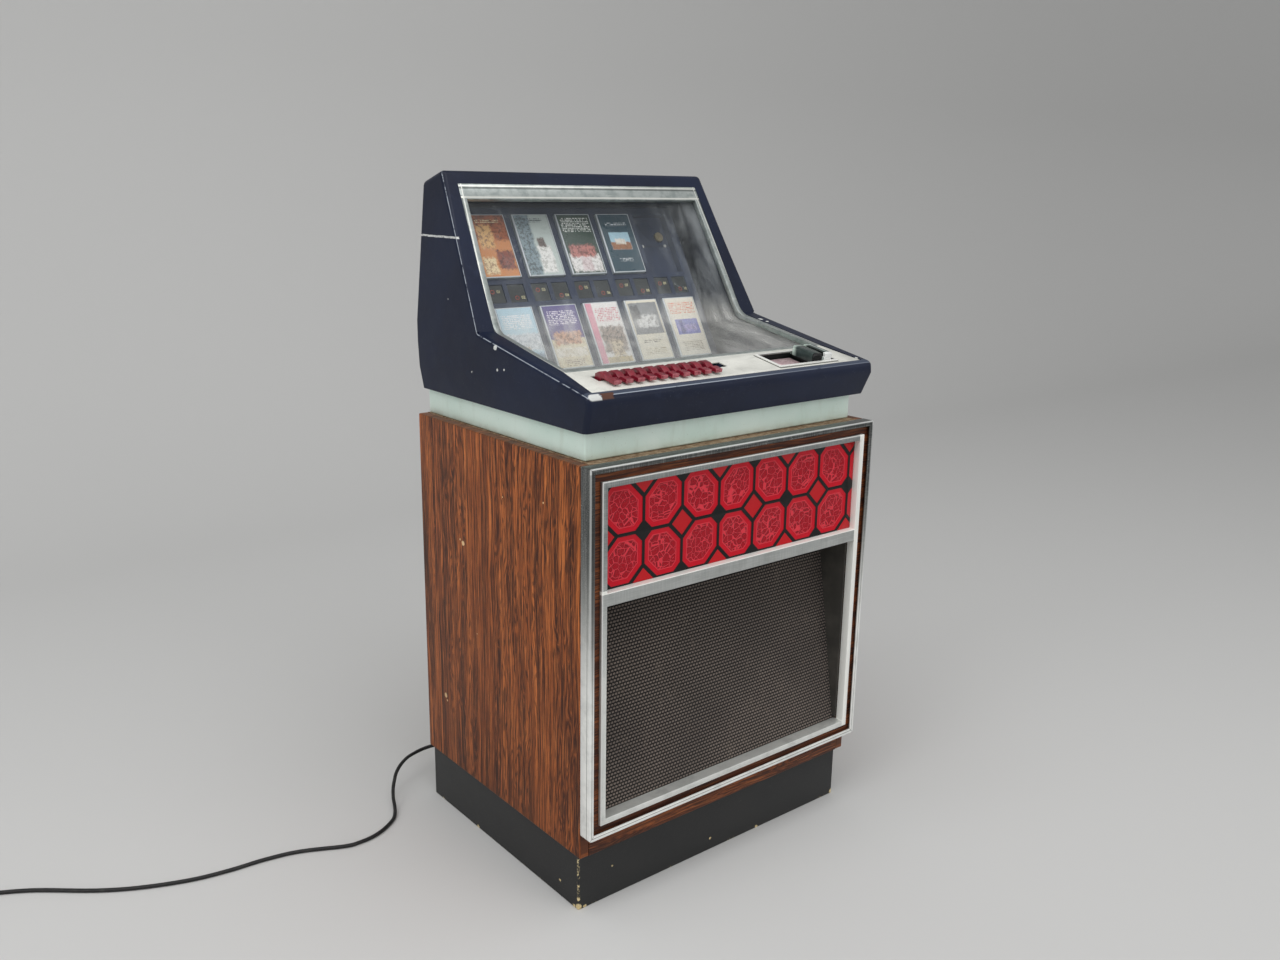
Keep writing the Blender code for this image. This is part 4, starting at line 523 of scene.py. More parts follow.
def inner_metal():
    """The inner frame: grey at the top left and whiter lower down as painted floor reflection, with painted
    highlights on its arrises and a painted glare white down the right and along the foot.
    """
    f = aluminium("inner_aluminium", (132, 136, 136), (236, 238, 234))
    low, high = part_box("inner_frame")
    cloud = f.noise(12.0, 3.0, 0.5).rising(0.35, 0.65)
    f.lay(cloud * 0.12, 120, 124, 122)
    rim = (high[0] - abs(f.x)) & (high[2] - f.z) & (f.z - low[2])
    arris_highlight = (rim + (f.y - low[1])).rising(0.0024, 0.0010)
    # Painted highlight along the arrises
    f.lay(arris_highlight * 0.8, 240, 241, 238)
    # Painted glare: white and less metallic down the right bar and along the top of the crossbar
    painted_glare = (f.x > opening_half - 0.0012) | ((f.z < crossbar_top + 0.004) * (f.z > crossbar_top - 0.0012))
    f.lay(painted_glare * 0.85, 250, 250, 244)
    return f.set(Metallic=0.62 - painted_glare * 0.5)


trim_half = 0.2592
trim_groove = 0.0050
trim_lips = (0.0022, 0.0082)
top_lip_height = 1.0240
top_groove_height = 1.0212
top_foot_height = 1.0075


def trim_metal():
    """Window trim: a drawn strip, grey-green and mottled, with painted highlights on its parallel lips and
    painted shade in the grooves between.
    """
    f = aluminium("trim_aluminium", (146, 152, 148), (146, 152, 148), 0.7)
    mottle = f.noise(52.0, 4.0, 0.65)
    f.colour = f.blend(mottle.rising(0.40, 0.66) * 0.6, tone(172, 178, 176), tone(124, 134, 132))
    smears = f.noise(60.0, 4.0, 0.6, 0.6, stretch=(0.25, 2.0, 2.0)).rising(0.55, 0.72)
    f.lay(smears * 0.4, 216, 218, 212)
    rise = f.z - bend_height
    edge = trim_half - (rise | 0.0) * side_lean - abs(f.x)
    lip_highlights = edge.line(trim_lips[0], 0.0012, 0.0006) | edge.line(trim_lips[1], 0.0012, 0.0006)
    dark = edge.line(trim_groove, 0.0015, 0.0008) * (f.z < 1.010)
    top = f.z > 1.004
    top_lip_highlights = f.z.line(top_lip_height, 0.0012, 0.0006) | f.z.line(top_foot_height, 0.0016, 0.0008)
    lip_highlights = lip_highlights | (top * top_lip_highlights)
    dark = dark | (top * f.z.line(top_groove_height, 0.0015, 0.0008))
    # Painted shade in the grooves, then painted highlights on the lips
    f.lay(dark * 0.65, 64, 68, 66)
    f.lay(lip_highlights * 0.7, 240, 240, 232)
    f.set(Metallic=0.55, Roughness=mottle * 0.2 + 0.30)
    return f.relief(1.0 - dark, 0.0004)


lattice_half = 0.2507
lattice_low = 0.4968
lattice_high = 0.6427
lattice_bar = 0.005
lattice_pitch = (2 * lattice_half / 7.16, (lattice_high - lattice_low) / 2)
large_cut = 0.32 * lattice_pitch[0]
small_cut = 0.17 * lattice_pitch[0]


def red_lattice():
    """Red acrylic, printed black between uneven octagons, with an embossed crackle in each."""
    f = Finish("red_lattice_acrylic", Specular_IOR_Level=0.20, Coat_Roughness=0.15, Coat_IOR=1.49)
    u = (f.x + lattice_half) / lattice_pitch[0]
    v = (f.z - lattice_low) / lattice_pitch[1]
    column, row = (u + 0.5).worked("FLOOR"), (v + 0.5).worked("FLOOR")
    across, up = abs(u - column) * lattice_pitch[0], abs(v - row) * lattice_pitch[1]
    odd = (column + row) % 2.0
    cut = odd * (large_cut - small_cut) + small_cut
    lean = across + up
    edge = (across - lattice_bar / 2) & (up - lattice_bar / 2) & ((lean - cut - lattice_bar) / math.sqrt(2))
    octagon = edge.rising(-0.0002, 0.0002)
    reach = large_cut - lattice_bar / math.sqrt(2)
    diamond = odd * lean.rising(reach + 0.0002, reach - 0.0002)
    # The crackle: a maze of bent ridges inside each octagon's rim
    wander = f.noise(95.0, 2.0, 0.5)
    maze = f.joined(f.x + (wander - 0.5) * 0.006, 0.0, f.z + (wander - 0.5) * 0.006)
    ridges = f.cells(98.0, "DISTANCE_TO_EDGE", maze, random=0.9)
    twigs = abs(f.noise(150.0, 1.0, 0.4, 0.8) - 0.5)
    field = edge.rising(0.0078, 0.0088)
    veins = (ridges.rising(0.075, 0.035) | twigs.rising(0.016, 0.006)) * field
    rim = edge.line(0.0074, 0.0011, 0.0004)
    f.colour = f.blend(f.noise(40.0, 3.0, 0.5), tone(184, 3, 28), tone(202, 6, 36))
    f.lay(diamond, 184, 18, 28)
    f.lay(field * 0.55, 136, 2, 22)
    # Painted highlight on the embossed ridges and the inset rim line, then painted shade beside the ridges
    f.lay((veins | rim) * 0.80, 228, 60, 74)
    shade = (ridges.rising(0.16, 0.09) | twigs.rising(0.040, 0.022)) * field
    f.lay((shade - veins).rising(0.0, 1.0) * 0.55, 104, 2, 22)
    black = f.blend(f.noise(60.0, 3.0, 0.6), tone(10, 11, 12), tone(20, 21, 22))
    shown = octagon | diamond
    f.set(Base_Color=f.blend(shown, black, f.colour), Roughness=0.40 - shown * 0.08, Coat_Weight=0.10)
    return f.relief(veins | rim, 0.0007)


grille_lean = math.radians(9.4)
weave_rise = 0.0050
weave_step = weave_rise * 1.18


def grille_weave():
    """Coarse speaker cloth: staggered rows of pale dashes over dark cord, with painted shade dulling them near
    the top.
    """
    f = Finish("grille_weave", Specular_IOR_Level=0.2, Sheen_Weight=0.15)
    climb = f.z / (math.cos(grille_lean) * weave_rise)
    row = climb.worked("FLOOR")
    shift = (row % 2.0) * 0.5
    wobble = f.noise(60.0, 2.0, 0.5) * 0.25
    step = (f.x / weave_step + shift + wobble) % 1.0
    rise = climb % 1.0
    dash = step.line(0.5, 0.44, 0.26) * rise.line(0.5, 0.42, 0.16)
    yarn = f.noise(2600.0, 2.0, 0.6)
    # Painted shade: the dashes dimmer towards the top of the cloth
    light = f.z.rising(0.47, 0.22) * 0.2 + 0.62
    worn = f.noise(46.0, 4.0, 0.7, stretch=(1.0, 1.0, 0.4)).rising(0.56, 0.74)
    faint = f.noise(5.0, 3.0, 0.6)
    thread = f.ramp(yarn * 0.5 + faint * 0.5, (0.35, 98, 88, 82), (0.65, 146, 132, 122))
    gap = f.blend(yarn, tone(8, 7, 7), tone(20, 17, 16))
    f.colour = f.blend(dash * light, gap, thread)
    f.lay(worn * 0.10, 140, 126, 112)
    f.set(Roughness=0.9)
    f.relief(dash, 0.0008)
    return f.relief(yarn, 0.0002, 0.6)


scratch_height = 0.9498


def navy_shell():
    """Moulded navy head: soft orange peel, hazy rubs, pale edge lines that are part wear and part painted
    highlight, and the chips and scratches along its edges.
    """
    f = Finish("navy_shell", Specular_IOR_Level=0.28, Coat_Roughness=0.2)
    cloud = f.noise(7.0, 4.0, 0.6)
    rub = f.noise(36.0, 5.0, 0.65, 0.4)
    f.colour = f.ramp(cloud, (0.35, 7, 17, 40), (0.68, 13, 25, 51))
    f.lay(rub.rising(0.55, 0.80) * 0.30, 48, 58, 82)
    speck = f.noise(1100.0, 1.0, 0.5).rising(0.73, 0.77) * f.noise(25.0, 2.0, 0.5).rising(0.45, 0.65)
    f.lay(speck * 0.5, 150, 154, 162)
    # How deep a point lies under the slopes, and in from the side wall
    inward = f.y - (wood_front + bend_in)
    rise = f.z - bend_height
    upper = inward * math.cos(upper_slope) - rise * math.sin(upper_slope)
    lower = inward * math.sin(lower_slope) - rise * math.cos(lower_slope)
    depth = upper | lower
    side = head_half - (rise | 0.0) * side_lean - abs(f.x)
    ridge = abs(depth - side - 0.0012).rising(0.0013, 0.0005) * depth.rising(0.0065, 0.004)
    front = f.y - (wood_front + lip_in)
    worn = f.noise(55.0, 4.0, 0.7)
    lip_line = abs(depth - front + 0.0004).rising(0.0012, 0.0005) * front.rising(0.0045, 0.003)
    lip_line = lip_line * (f.z > lip_height - 0.006)
    # Pale lines along the side ridge and the front lip: part wear, part painted highlight, brighter to the
    # left
    rubbed = ridge * worn.rising(0.38, 0.52) * (f.z > lip_height - 0.004) * 0.75
    rubbed = rubbed | lip_line * (f.x.rising(0.12, -0.05) * 0.6 + 0.3) * worn.rising(0.30, 0.42)
    f.lay(rubbed, 176, 184, 194)
    rim_front = front.within(0.0, 0.012, 0.001) * depth.rising(0.003, 0.0015)
    f.lay(rim_front * 0.35, 96, 106, 124)
    line = abs(f.z - scratch_height + (f.noise(90.0, 2.0, 0.6) - 0.5) * 0.0022).rising(0.0019, 0.0010)
    scratch = line * (f.x < -0.262) * (f.y > 0.112) * (f.noise(420.0, 3.0, 0.6) > 0.40)
    left = -head_half
    bare = f.chips(0.004, (left, -0.005, 0.8035, 0.0040), (left, -0.010, 0.772, 0.0022),
                   (left, -0.028, 0.7745, 0.0018), (-0.151, -0.240, 0.764, 0.0035),
                   (-0.143, -0.240, 0.763, 0.0016), (0.006, -0.240, 0.764, 0.0040),
                   (0.012, -0.239, 0.764, 0.0018), (0.256, 0.004, 0.8105, 0.0040),
                   (0.258, -0.010, 0.8075, 0.0030), (left, 0.060, 0.760, 0.0014),
                   (-0.276, 0.130, 0.860, 0.0012), (0.262, -0.205, 0.770, 0.0030))
    corner = (depth + front).rising(0.0068, 0.0050) * (f.z > 0.755)
    ragged = f.x + (worn - 0.5) * 0.02
    bare = bare | scratch | corner * ragged.within(-0.276, -0.257, 0.002)
    f.lay(bare, 206, 208, 206)
    f.lay(corner * ragged.within(-0.256, -0.236, 0.002), 84, 52, 40)
    f.set(Roughness=rub * 0.22 + 0.34, Coat_Weight=0.06)
    f.grain(230.0, 0.00008)
    return f.relief(1.0 - bare, 0.0003)


def mint_paint():
    """Pale mint enamel with dull runs and a dusty, darker foot."""
    f = Finish("mint_paint", Specular_IOR_Level=0.5, Coat_Roughness=0.3)
    cloud = f.noise(10.0, 4.0, 0.6)
    runs = f.noise(44.0, 3.0, 0.6, stretch=(1.0, 1.0, 0.25))
    f.colour = f.ramp(cloud, (0.3, 212, 234, 223), (0.7, 226, 242, 233))
    f.lay(runs.rising(0.52, 0.76) * 0.25, 182, 196, 178)
    foot = f.z.rising(0.684, 0.674) * f.noise(30.0, 3.0, 0.6).rising(0.25, 0.70)
    f.lay(foot * 0.45, 168, 172, 150)
    speck = f.noise(520.0, 2.0, 0.6).rising(0.70, 0.74)
    f.lay(speck * 0.5, 132, 130, 112)
    f.set(Roughness=cloud * 0.15 + 0.40, Coat_Weight=0.08)
    f.grain(180.0, 0.00008)
    return f


def clear_sheet():
    """Clear acrylic with wiping haze, dust in the lower slope, fine scratches, and a painted whitish
    reflection towards the right.
    """
    f = Finish("window_acrylic", IOR=1.49, Specular_IOR_Level=0.5)
    haze = f.noise(9.0, 4.0, 0.65, 0.8)
    wipes = f.noise(28.0, 4.0, 0.6, 1.2, stretch=(1.0, 0.35, 0.35))
    low = f.z.rising(0.865, 0.815)
    scratch = abs(f.noise(12.0, 2.0, 0.5, 2.5) - 0.5).rising(0.0030, 0.0008)
    smear = wipes.rising(0.55, 0.85) * 0.06 + scratch * 0.12 + low * wipes.rising(0.35, 0.75) * 0.16
    # Painted reflection: whitish streaks towards the right of the window
    far = f.x.rising(0.10, 0.24) * wipes.rising(0.30, 0.75)
    veil = haze.rising(0.35, 0.80) * 0.03 + smear + low * 0.10 + far * 0.16 + 0.03
    f.colour = f.blend(low, tone(196, 202, 205), tone(222, 222, 218))
    f.set(Roughness=low * 0.10 + 0.06, Alpha=veil)
    return f


def inward_from(f, name):
    """How far a point of the panel lies inside the outline of a node that sits in it."""
    low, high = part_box(name)
    along = (f.y - low[1]) & (high[1] - f.y)
    return (f.x - low[0]) & (high[0] - f.x) & (along / math.cos(lower_slope))


def above_panel(f):
    """How far a point stands out of the lower slope."""
    out = (f.y - wood_front - lip_in) * math.sin(lower_slope)
    return (f.z - lip_height) * math.cos(lower_slope) - out


def panel_paint():
    """Off-white painted metal, rubbed, with a painted shadow round the coin bezel."""
    f = Finish("panel_paint", Specular_IOR_Level=0.5, Coat_Roughness=0.2)
    cloud = f.noise(22.0, 4.0, 0.62)
    f.colour = f.ramp(cloud, (0.3, 216, 216, 208), (0.7, 238, 238, 230))
    rubs = f.noise(70.0, 4.0, 0.65, 0.5, stretch=(0.4, 1.0, 1.0))
    f.lay(rubs.rising(0.52, 0.78) * 0.35, 166, 166, 160)
    speck = f.noise(700.0, 1.0, 0.5).rising(0.70, 0.74)
    f.lay(speck * 0.6, 120, 116, 106)
    # Painted shadow: a dark band round the coin bezel
    bezel_shadow = inward_from(f, "coin_bezel").within(-0.0016, 0.0010, 0.0008)
    f.lay(bezel_shadow * 0.85, 52, 50, 48)
    f.set(Metallic=0.15, Roughness=cloud * 0.2 + 0.30, Coat_Weight=0.10)
    return f


def key_plastic():
    """Crimson keys, paler and chalky where fingers have rubbed their fronts."""
    f = Finish("crimson_keys", Specular_IOR_Level=0.5, Coat_Roughness=0.12)
    cloud = f.noise(90.0, 3.0, 0.6)
    f.colour = f.ramp(cloud, (0.3, 104, 12, 32), (0.7, 136, 20, 42))
    rubbed = above_panel(f).rising(0.0155, 0.0245) * f.noise(150.0, 3.0, 0.6).rising(0.30, 0.65)
    f.lay(rubbed * 0.35, 186, 76, 90)
    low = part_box("key_01")[0]
    tip = (f.y - low[1]).rising(0.0016, 0.0006) * f.noise(260.0, 3.0, 0.6).rising(0.25, 0.60)
    f.lay(tip * 0.6, 206, 122, 130)
    f.set(Roughness=cloud * 0.2 + 0.22, Coat_Weight=0.30)
    f.grain(420.0, 0.00008)
    return f


def metal(name, body, rough=0.3, shine=1.0, pits=0.0):
    f = Finish(name, Specular_IOR_Level=0.5)
    cloud = f.noise(46.0, 4.0, 0.6)
    drawn = f.noise(500.0, 3.0, 0.6, stretch=(0.05, 1.0, 1.0))
    f.colour = f.blend(cloud * 0.4, body, tone(90, 92, 92))
    if pits:
        spots = f.cells(360.0).rising(0.15, 0.06) * cloud.rising(0.45, 0.60)
        f.lay(spots * pits, 60, 56, 50)
    f.set(Metallic=shine, Roughness=cloud * 0.2 + drawn * 0.1 + rough - 0.1)
    return f


def moulded(name, body, dusty, rough=0.5, grain=300.0):
    """Plain moulded or painted stuff with a fine grain and settled dust."""
    f = Finish(name, Specular_IOR_Level=0.4)
    cloud = f.noise(30.0, 4.0, 0.6)
    f.colour = f.blend(cloud.rising(0.35, 0.80) * 0.5, body, dusty)
    f.set(Roughness=cloud * 0.2 + rough - 0.1)
    f.grain(grain, 0.00012)
    return f


def chipboard():
    """Pressed chips of pale wood, showing at raw boards and edges."""
    f = Finish("bare_chipboard", Specular_IOR_Level=0.25)
    f.colour, fine = pressed_chips(f)
    dirt = f.noise(8.0, 4.0, 0.6).rising(0.45, 0.80)
    f.lay(dirt * 0.35, 104, 82, 60)
    f.set(Roughness=0.82)
    f.relief(fine, 0.0003)
    return f


def rubber():
    f = Finish("cord_rubber", Specular_IOR_Level=0.4)
    dust = f.noise(120.0, 4.0, 0.6)
    f.colour = f.blend(dust.rising(0.45, 0.80) * 0.5, tone(22, 22, 23), tone(70, 68, 66))
    f.set(Roughness=dust * 0.25 + 0.40)
    f.grain(900.0, 0.00006)
    return f


def cone_paper():
    f = Finish("speaker_cone_paper", Specular_IOR_Level=0.2)
    pulp = f.noise(650.0, 4.0, 0.65)
    f.set(Base_Color=f.blend(pulp, tone(30, 28, 27), tone(54, 50, 46)), Roughness=0.85)
    return f.relief(pulp, 0.0003)


tube_cap = 0.2187


def tube_glass():
    """White lamp tube, browned at its two ends."""
    f = Finish("lamp_tube_glass", Specular_IOR_Level=0.5)
    ends = abs(f.x).rising(tube_cap - 0.0137, tube_cap - 0.0002)
    caps = abs(f.x) > tube_cap
    f.colour = f.blend(ends * 0.6, tone(238, 238, 232), tone(140, 128, 112))
    f.lay(caps, 190, 190, 188)
    f.set(Metallic=caps * 0.8, Roughness=0.22)
    return f


# The cassette rack
def rack_axes(f, centre_x=0.0, row=0):
    """Places on the leaning rack: across, up the slope, and out of it."""
    y, z = f.y - (wood_front + rack_in), f.z - rack_foot_height
    up = y * math.sin(rack_lean) + z * math.cos(rack_lean)
    out = z * math.sin(rack_lean) - y * math.cos(rack_lean)
    return f.x - centre_x, up - row * row_rise, out


seam_up = 0.214


def rack_plastic():
    """Blue-navy rack, dusty, with a seam across the empty bay."""
    f = Finish("rack_plastic", Specular_IOR_Level=0.4, Coat_Roughness=0.3)
    u, v = rack_axes(f)[:2]
    cloud = f.noise(16.0, 4.0, 0.6)
    f.colour = f.ramp(cloud, (0.3, 27, 37, 60), (0.7, 38, 50, 76))
    dust = f.noise(300.0, 3.0, 0.6)
    f.lay(dust.rising(0.58, 0.78) * 0.25, 96, 106, 124)
    seam = v.line(seam_up, 0.0008, 0.0003) * u.within(0.128, 0.208, 0.001)
    f.lay(seam * 0.8, 12, 14, 20)
    f.set(Roughness=cloud * 0.15 + 0.36, Coat_Weight=0.08)
    f.relief(1.0 - seam, 0.0004)
    f.grain(600.0, 0.00008)
    return f


print_rise = 0.0030


def darker(shade, share):
    """A tone with only this share of its light."""
    return (*[c * share for c in tone(*shade)[:3]], 1.0)


def card_finish(name, ground, patches, ink, row, column):
    """A printed card behind clear polystyrene: soft blocks of colour, rows of small dashes, a pale rim."""
    f = Finish(name, Specular_IOR_Level=0.5, Coat_Roughness=0.06, Coat_IOR=1.59)
    centre = (column - 2) * bay_pitch
    u, v, out = rack_axes(f, centre, row)
    fine, soft, mottle = f.noise(260.0, 3.0, 0.6), f.noise(70.0, 4.0, 0.7), f.noise(170.0, 4.0, 0.75, 0.4)
    f.colour = f.blend(soft * 0.5, tone(*ground), darker(ground, 0.82))
    for *edges, shade, blur in patches:
        left, right, low, high, blur = (mm / 1000 for mm in (*edges, blur))
        mask = (u + (soft - 0.5) * blur).within(left, right, 0.0008 + blur / 3)
        mask = mask * (v + (fine - 0.5) * blur).within(low, high, 0.0008 + blur / 3)
        spots = mottle.rising(0.49, 0.56) * min(blur * 56, 0.85)
        f.lay(mask, f.blend(spots, tone(*shade), darker(shade, 0.30)))
    for *edges, shade in ink:
        low, high, left, right = (mm / 1000 for mm in edges)
        line = (v / print_rise).worked("FLOOR")
        dashes = f.noise(1.0, 1.0, 0.5, where=f.joined(u * 520.0, line * 7.7 + 3.1 * column, row * 5.0))
        mask = dashes.rising(0.44, 0.52) * ((v / print_rise) % 1.0).within(0.22, 0.80, 0.1)
        f.lay(mask * v.within(low, high, 0.0006) * u.within(left, right, 0.0006), *shade)
    rim = abs(u).rising(0.0322, 0.0328) | abs(v - case_height / 2).rising(0.0522, 0.0530)
    f.lay(rim, 176, 182, 186)
    hinge = abs(abs(u) - 0.0318).rising(0.0006, 0.0002)
    f.lay(hinge * 0.6, 40, 44, 50)
    front = out > -0.0012
    f.lay(1.0 - front, 120, 128, 134)
    glaze = f.noise(60.0, 3.0, 0.6)
    f.colour = f.blend(0.22, f.colour, (1.3, 1.3, 1.3, 1.0), "OVERLAY")
    f.set(Roughness=glaze * 0.15 + 0.22, Coat_Weight=0.6)
    return f


# Each card: name, ground, row, column, patches (left, right, low, high, shade, blur), print (low, high, left,
# right, shade); places in millimetres from the foot of the case's middle
cassette_cards = [
    ("card_sky", (160, 188, 210), 0, 0,
     [(-34, 34, 36, 64, (196, 206, 214), 10), (-34, 34, 0, 30, (108, 124, 140), 14),
      (-28, 10, 12, 42, (206, 196, 178), 12)],
     [(72, 96, -27, 26, (236, 238, 240))]),
    ("card_violet", (74, 62, 118), 0, 1,
     [(-34, 34, 0, 50, (214, 196, 166), 6), (-26, 26, 40, 62, (190, 146, 120), 16),
      (-30, 30, 20, 34, (232, 222, 200), 10)],
     [(74, 98, -27, 27, (224, 214, 232)), (4, 16, -20, 20, (120, 100, 80))]),
    ("card_rose", (228, 222, 218), 0, 2,
     [(-34, -20, 0, 109, (206, 134, 150), 2), (-18, 30, 20, 66, (142, 128, 118), 18),
      (-6, 20, 12, 40, (196, 176, 150), 16), (-20, 30, 0, 12, (176, 158, 120), 8)],
     [(74, 98, -16, 30, (176, 60, 84))]),
    ("card_grey", (226, 214, 186), 0, 3,
     [(-30, 30, 46, 103, (116, 118, 120), 3), (-20, 22, 58, 80, (206, 206, 204), 14),
      (-28, -10, 74, 98, (70, 70, 72), 12)],
     [(30, 37, -20, 20, (60, 56, 52)), (10, 22, -22, 22, (150, 138, 116))]),
    ("card_cream", (232, 220, 192), 0, 4,
     [(-24, 26, 40, 68, (96, 100, 168), 2), (-20, 20, 46, 58, (150, 140, 196), 12),
      (-16, -8, 42, 66, (64, 64, 130), 6)],
     [(78, 100, -28, 28, (208, 84, 52)), (10, 28, -22, 22, (132, 120, 104))]),
    ("card_amber", (186, 122, 70), 1, 0,
     [(-34, 34, 64, 109, (150, 84, 50), 14), (-24, 4, 50, 90, (214, 160, 104), 18),
      (0, 30, 14, 46, (120, 62, 46), 16), (-28, -4, 6, 34, (226, 190, 150), 14)],
     [(94, 100, -22, 22, (232, 206, 160))]),
    ("card_mist", (172, 182, 178), 1, 1,
     [(-34, -6, 0, 109, (118, 134, 140), 16), (-4, 22, 6, 52, (228, 228, 222), 12),
      (0, 14, 50, 66, (96, 84, 78), 10)],
     [(94, 101, -28, 20, (60, 66, 76))]),
    ("card_leaf", (44, 62, 52), 1, 2,
     [(-30, 30, 4, 36, (222, 218, 214), 12), (-26, 24, 30, 52, (168, 108, 100), 18),
      (-10, 12, 6, 30, (206, 186, 186), 10)],
     [(76, 102, -28, 28, (232, 238, 230))]),
    ("card_teal", (32, 60, 72), 1, 3,
     [(-21, 21, 42, 74, (150, 182, 200), 2), (-21, 21, 42, 56, (140, 96, 66), 6),
      (-12, 10, 52, 62, (214, 206, 190), 8)],
     [(86, 92, -22, 22, (214, 222, 226)), (20, 26, -14, 14, (206, 212, 214))]),
]


# Finished pieces
def paint(finish, *names):
    for name in names:
        for place in frame["nodes"][name].material_slots:
            place.material = finish.material


def body_of(name):
    for body, members in frame["record"]["behaviour"]["bodies"].items():
        if name in members:
            return body


def slot_of(name):
    for part in frame["record"]["subparts"]:
        if part["node"] == name:
            return part["material_slot"]


def object_from(shape, name, finish):
    """Closes a bmesh into an object with this finish."""
    mesh = bpy.data.meshes.new(name)
    shape.to_mesh(mesh)
    shape.free()
    for face in mesh.polygons:
        face.use_smooth = True
    mesh.materials.append(finish.material)
    return new_object(name, mesh)


def piece_from(shape, name, finish, body, slot):
    """Closes a bmesh into a piece that rides on a body."""
    piece = object_from(shape, name, finish)
    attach(piece, body)
    return piece


def ease_edges(piece, width, segments=2, angle=32):
    bevel = piece.modifiers.new("eased_edges", "BEVEL")
    bevel.width = width
    bevel.segments = segments
    bevel.limit_method = "ANGLE"
    bevel.angle_limit = math.radians(angle)
    bevel.harden_normals = True
    return piece


def merged(node, whole=True):
    """A copy of a node's mesh, with its loose triangles joined into whole faces."""
    shape = bmesh.new()
    shape.from_mesh(frame["nodes"][node].data)
    bmesh.ops.remove_doubles(shape, verts=shape.verts, dist=0.00002)
    if whole:
        bmesh.ops.dissolve_limit(shape, angle_limit=math.radians(0.6), verts=shape.verts, edges=shape.edges)
    return shape


def softened(node, finish, width=0.0006, segments=2, angle=32, whole=True):
    """Stands for a node, with its hard edges eased so that they catch the light."""
    piece = piece_from(merged(node, whole), "eased_" + node, finish, body_of(node), slot_of(node))
    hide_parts(node)
    return ease_edges(piece, width, segments, angle)


chin_foot_in = -0.0015
chin_in = -0.0150
crown_drop = 0.018
back_belly_height = pedestal_top + 0.0747
back_tuck = 0.0065
blank_half = 0.4
bend_round = 0.0152
edge_round = 0.0075
shell_wall = 0.004
smallest_wide_face = 0.0015
# The window opening, from the front up: the height of each corner and its distance from the middle
window_corners = [(lip_height + 0.0105 * math.sin(lower_slope), 0.2645),
                  (lip_height + 0.0908 * math.sin(lower_slope), 0.254),
                  (bend_height, 0.250), (bend_height + 0.2395 * math.cos(upper_slope), 0.237)]


def round_over(shape, edges, radius, segments):
    bmesh.ops.bevel(shape, geom=edges, offset=radius, segments=segments, profile=0.5, affect="EDGES",
                    material=-1)


def push_out(shape, made, across):
    """Carries what an extrude has made across to the other side."""
    moved = [v for v in made["geom"] if isinstance(v, bmesh.types.BMVert)]
    bmesh.ops.translate(shape, verts=moved, vec=(across, 0.0, 0.0))


def in_order(shape):
    """The same shape, its corners and faces in the order of their places: each run then goes on alike."""
    corners = sorted((([round(c, 6) for c in v.co], v) for v in shape.verts), key=lambda pair: pair[0])
    count = {v: i for i, (place, v) in enumerate(corners)}
    loops = []
    for face in shape.faces:
        loop = [count[v] for v in face.verts]
        first = loop.index(min(loop))
        loops.append(loop[first:] + loop[:first])
    ordered = bmesh.new()
    verts = [ordered.verts.new(place) for place, v in corners]
    for loop in sorted(loops):
        ordered.faces.new([verts[i] for i in loop])
    ordered.normal_update()
    shape.free()
    return ordered


def rounded_head(finish):
    """The moulded head: its side view drawn across, cut back at the sides, rounded, and opened."""
    low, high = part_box("head_shell")
    back = high[1] - wood_front
    outline = [(chin_foot_in, low[2]), (chin_in, belly_height), (lip_in, lip_height), (bend_in, bend_height),
               (crest_in, high[2]), (back, high[2] - crown_drop), (back, back_belly_height),
               (back - back_tuck, low[2])]
    shape = bmesh.new()
    face = shape.faces.new([shape.verts.new((-blank_half, wood_front + y, z)) for y, z in outline])
    push_out(shape, bmesh.ops.extrude_face_region(shape, geom=[face]), 2 * blank_half)
    for side in (-1, 1):
        for half_a, height_a, half_b, height_b in (
                (head_half, belly_height, head_half, shoulder_height),
                (head_half, shoulder_height, head_half_crest, high[2]),
                (head_half_foot, low[2], head_half, belly_height)):
            outward = (side * (height_b - height_a), 0.0, half_a - half_b)
            cut_back(shape, (side * half_a, 0.0, height_a), outward)
    bmesh.ops.recalc_face_normals(shape, faces=shape.faces)
    shape = in_order(shape)
    inner = [e for e in shape.edges if all(abs(v.co.y - wood_front - bend_in) < 0.0001 for v in e.verts)]
    round_over(shape, inner, bend_round, 8)
    shape = in_order(shape)
    outer = [e for e in shape.edges if e.calc_face_angle_signed() > math.radians(40)
             and max(v.co.z for v in e.verts) > low[2] + 0.0001]
    round_over(shape, outer, edge_round, 5)
    foot = [face for face in shape.faces if face.calc_center_median().z < low[2] + 0.0001]
    bmesh.ops.delete(shape, geom=foot, context="FACES")
    shape = in_order(shape)
    open_window(shape)
    shape = in_order(shape)
    piece = piece_from(shape, "rounded_head", finish, "head", slot_of("head_shell"))
    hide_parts("head_shell")
    wall = piece.modifiers.new("moulded_wall", "SOLIDIFY")
    wall.thickness = shell_wall
    wall.offset = -1.0
    wall.use_even_offset = True
    ease_edges(piece, 0.0008, 2, 40).modifiers.new("even_light", "WEIGHTED_NORMAL")
    return piece


def cut_back(shape, place, outward):
    """Takes away what lies outside a plane, and closes the cut."""
    geom = [*shape.verts, *shape.edges, *shape.faces]
    made = bmesh.ops.bisect_plane(shape, geom=geom, dist=0.000001, plane_co=place, plane_no=outward,
                                  clear_outer=True)
    bmesh.ops.holes_fill(shape, edges=[e for e in made["geom_cut"] if isinstance(e, bmesh.types.BMEdge)])


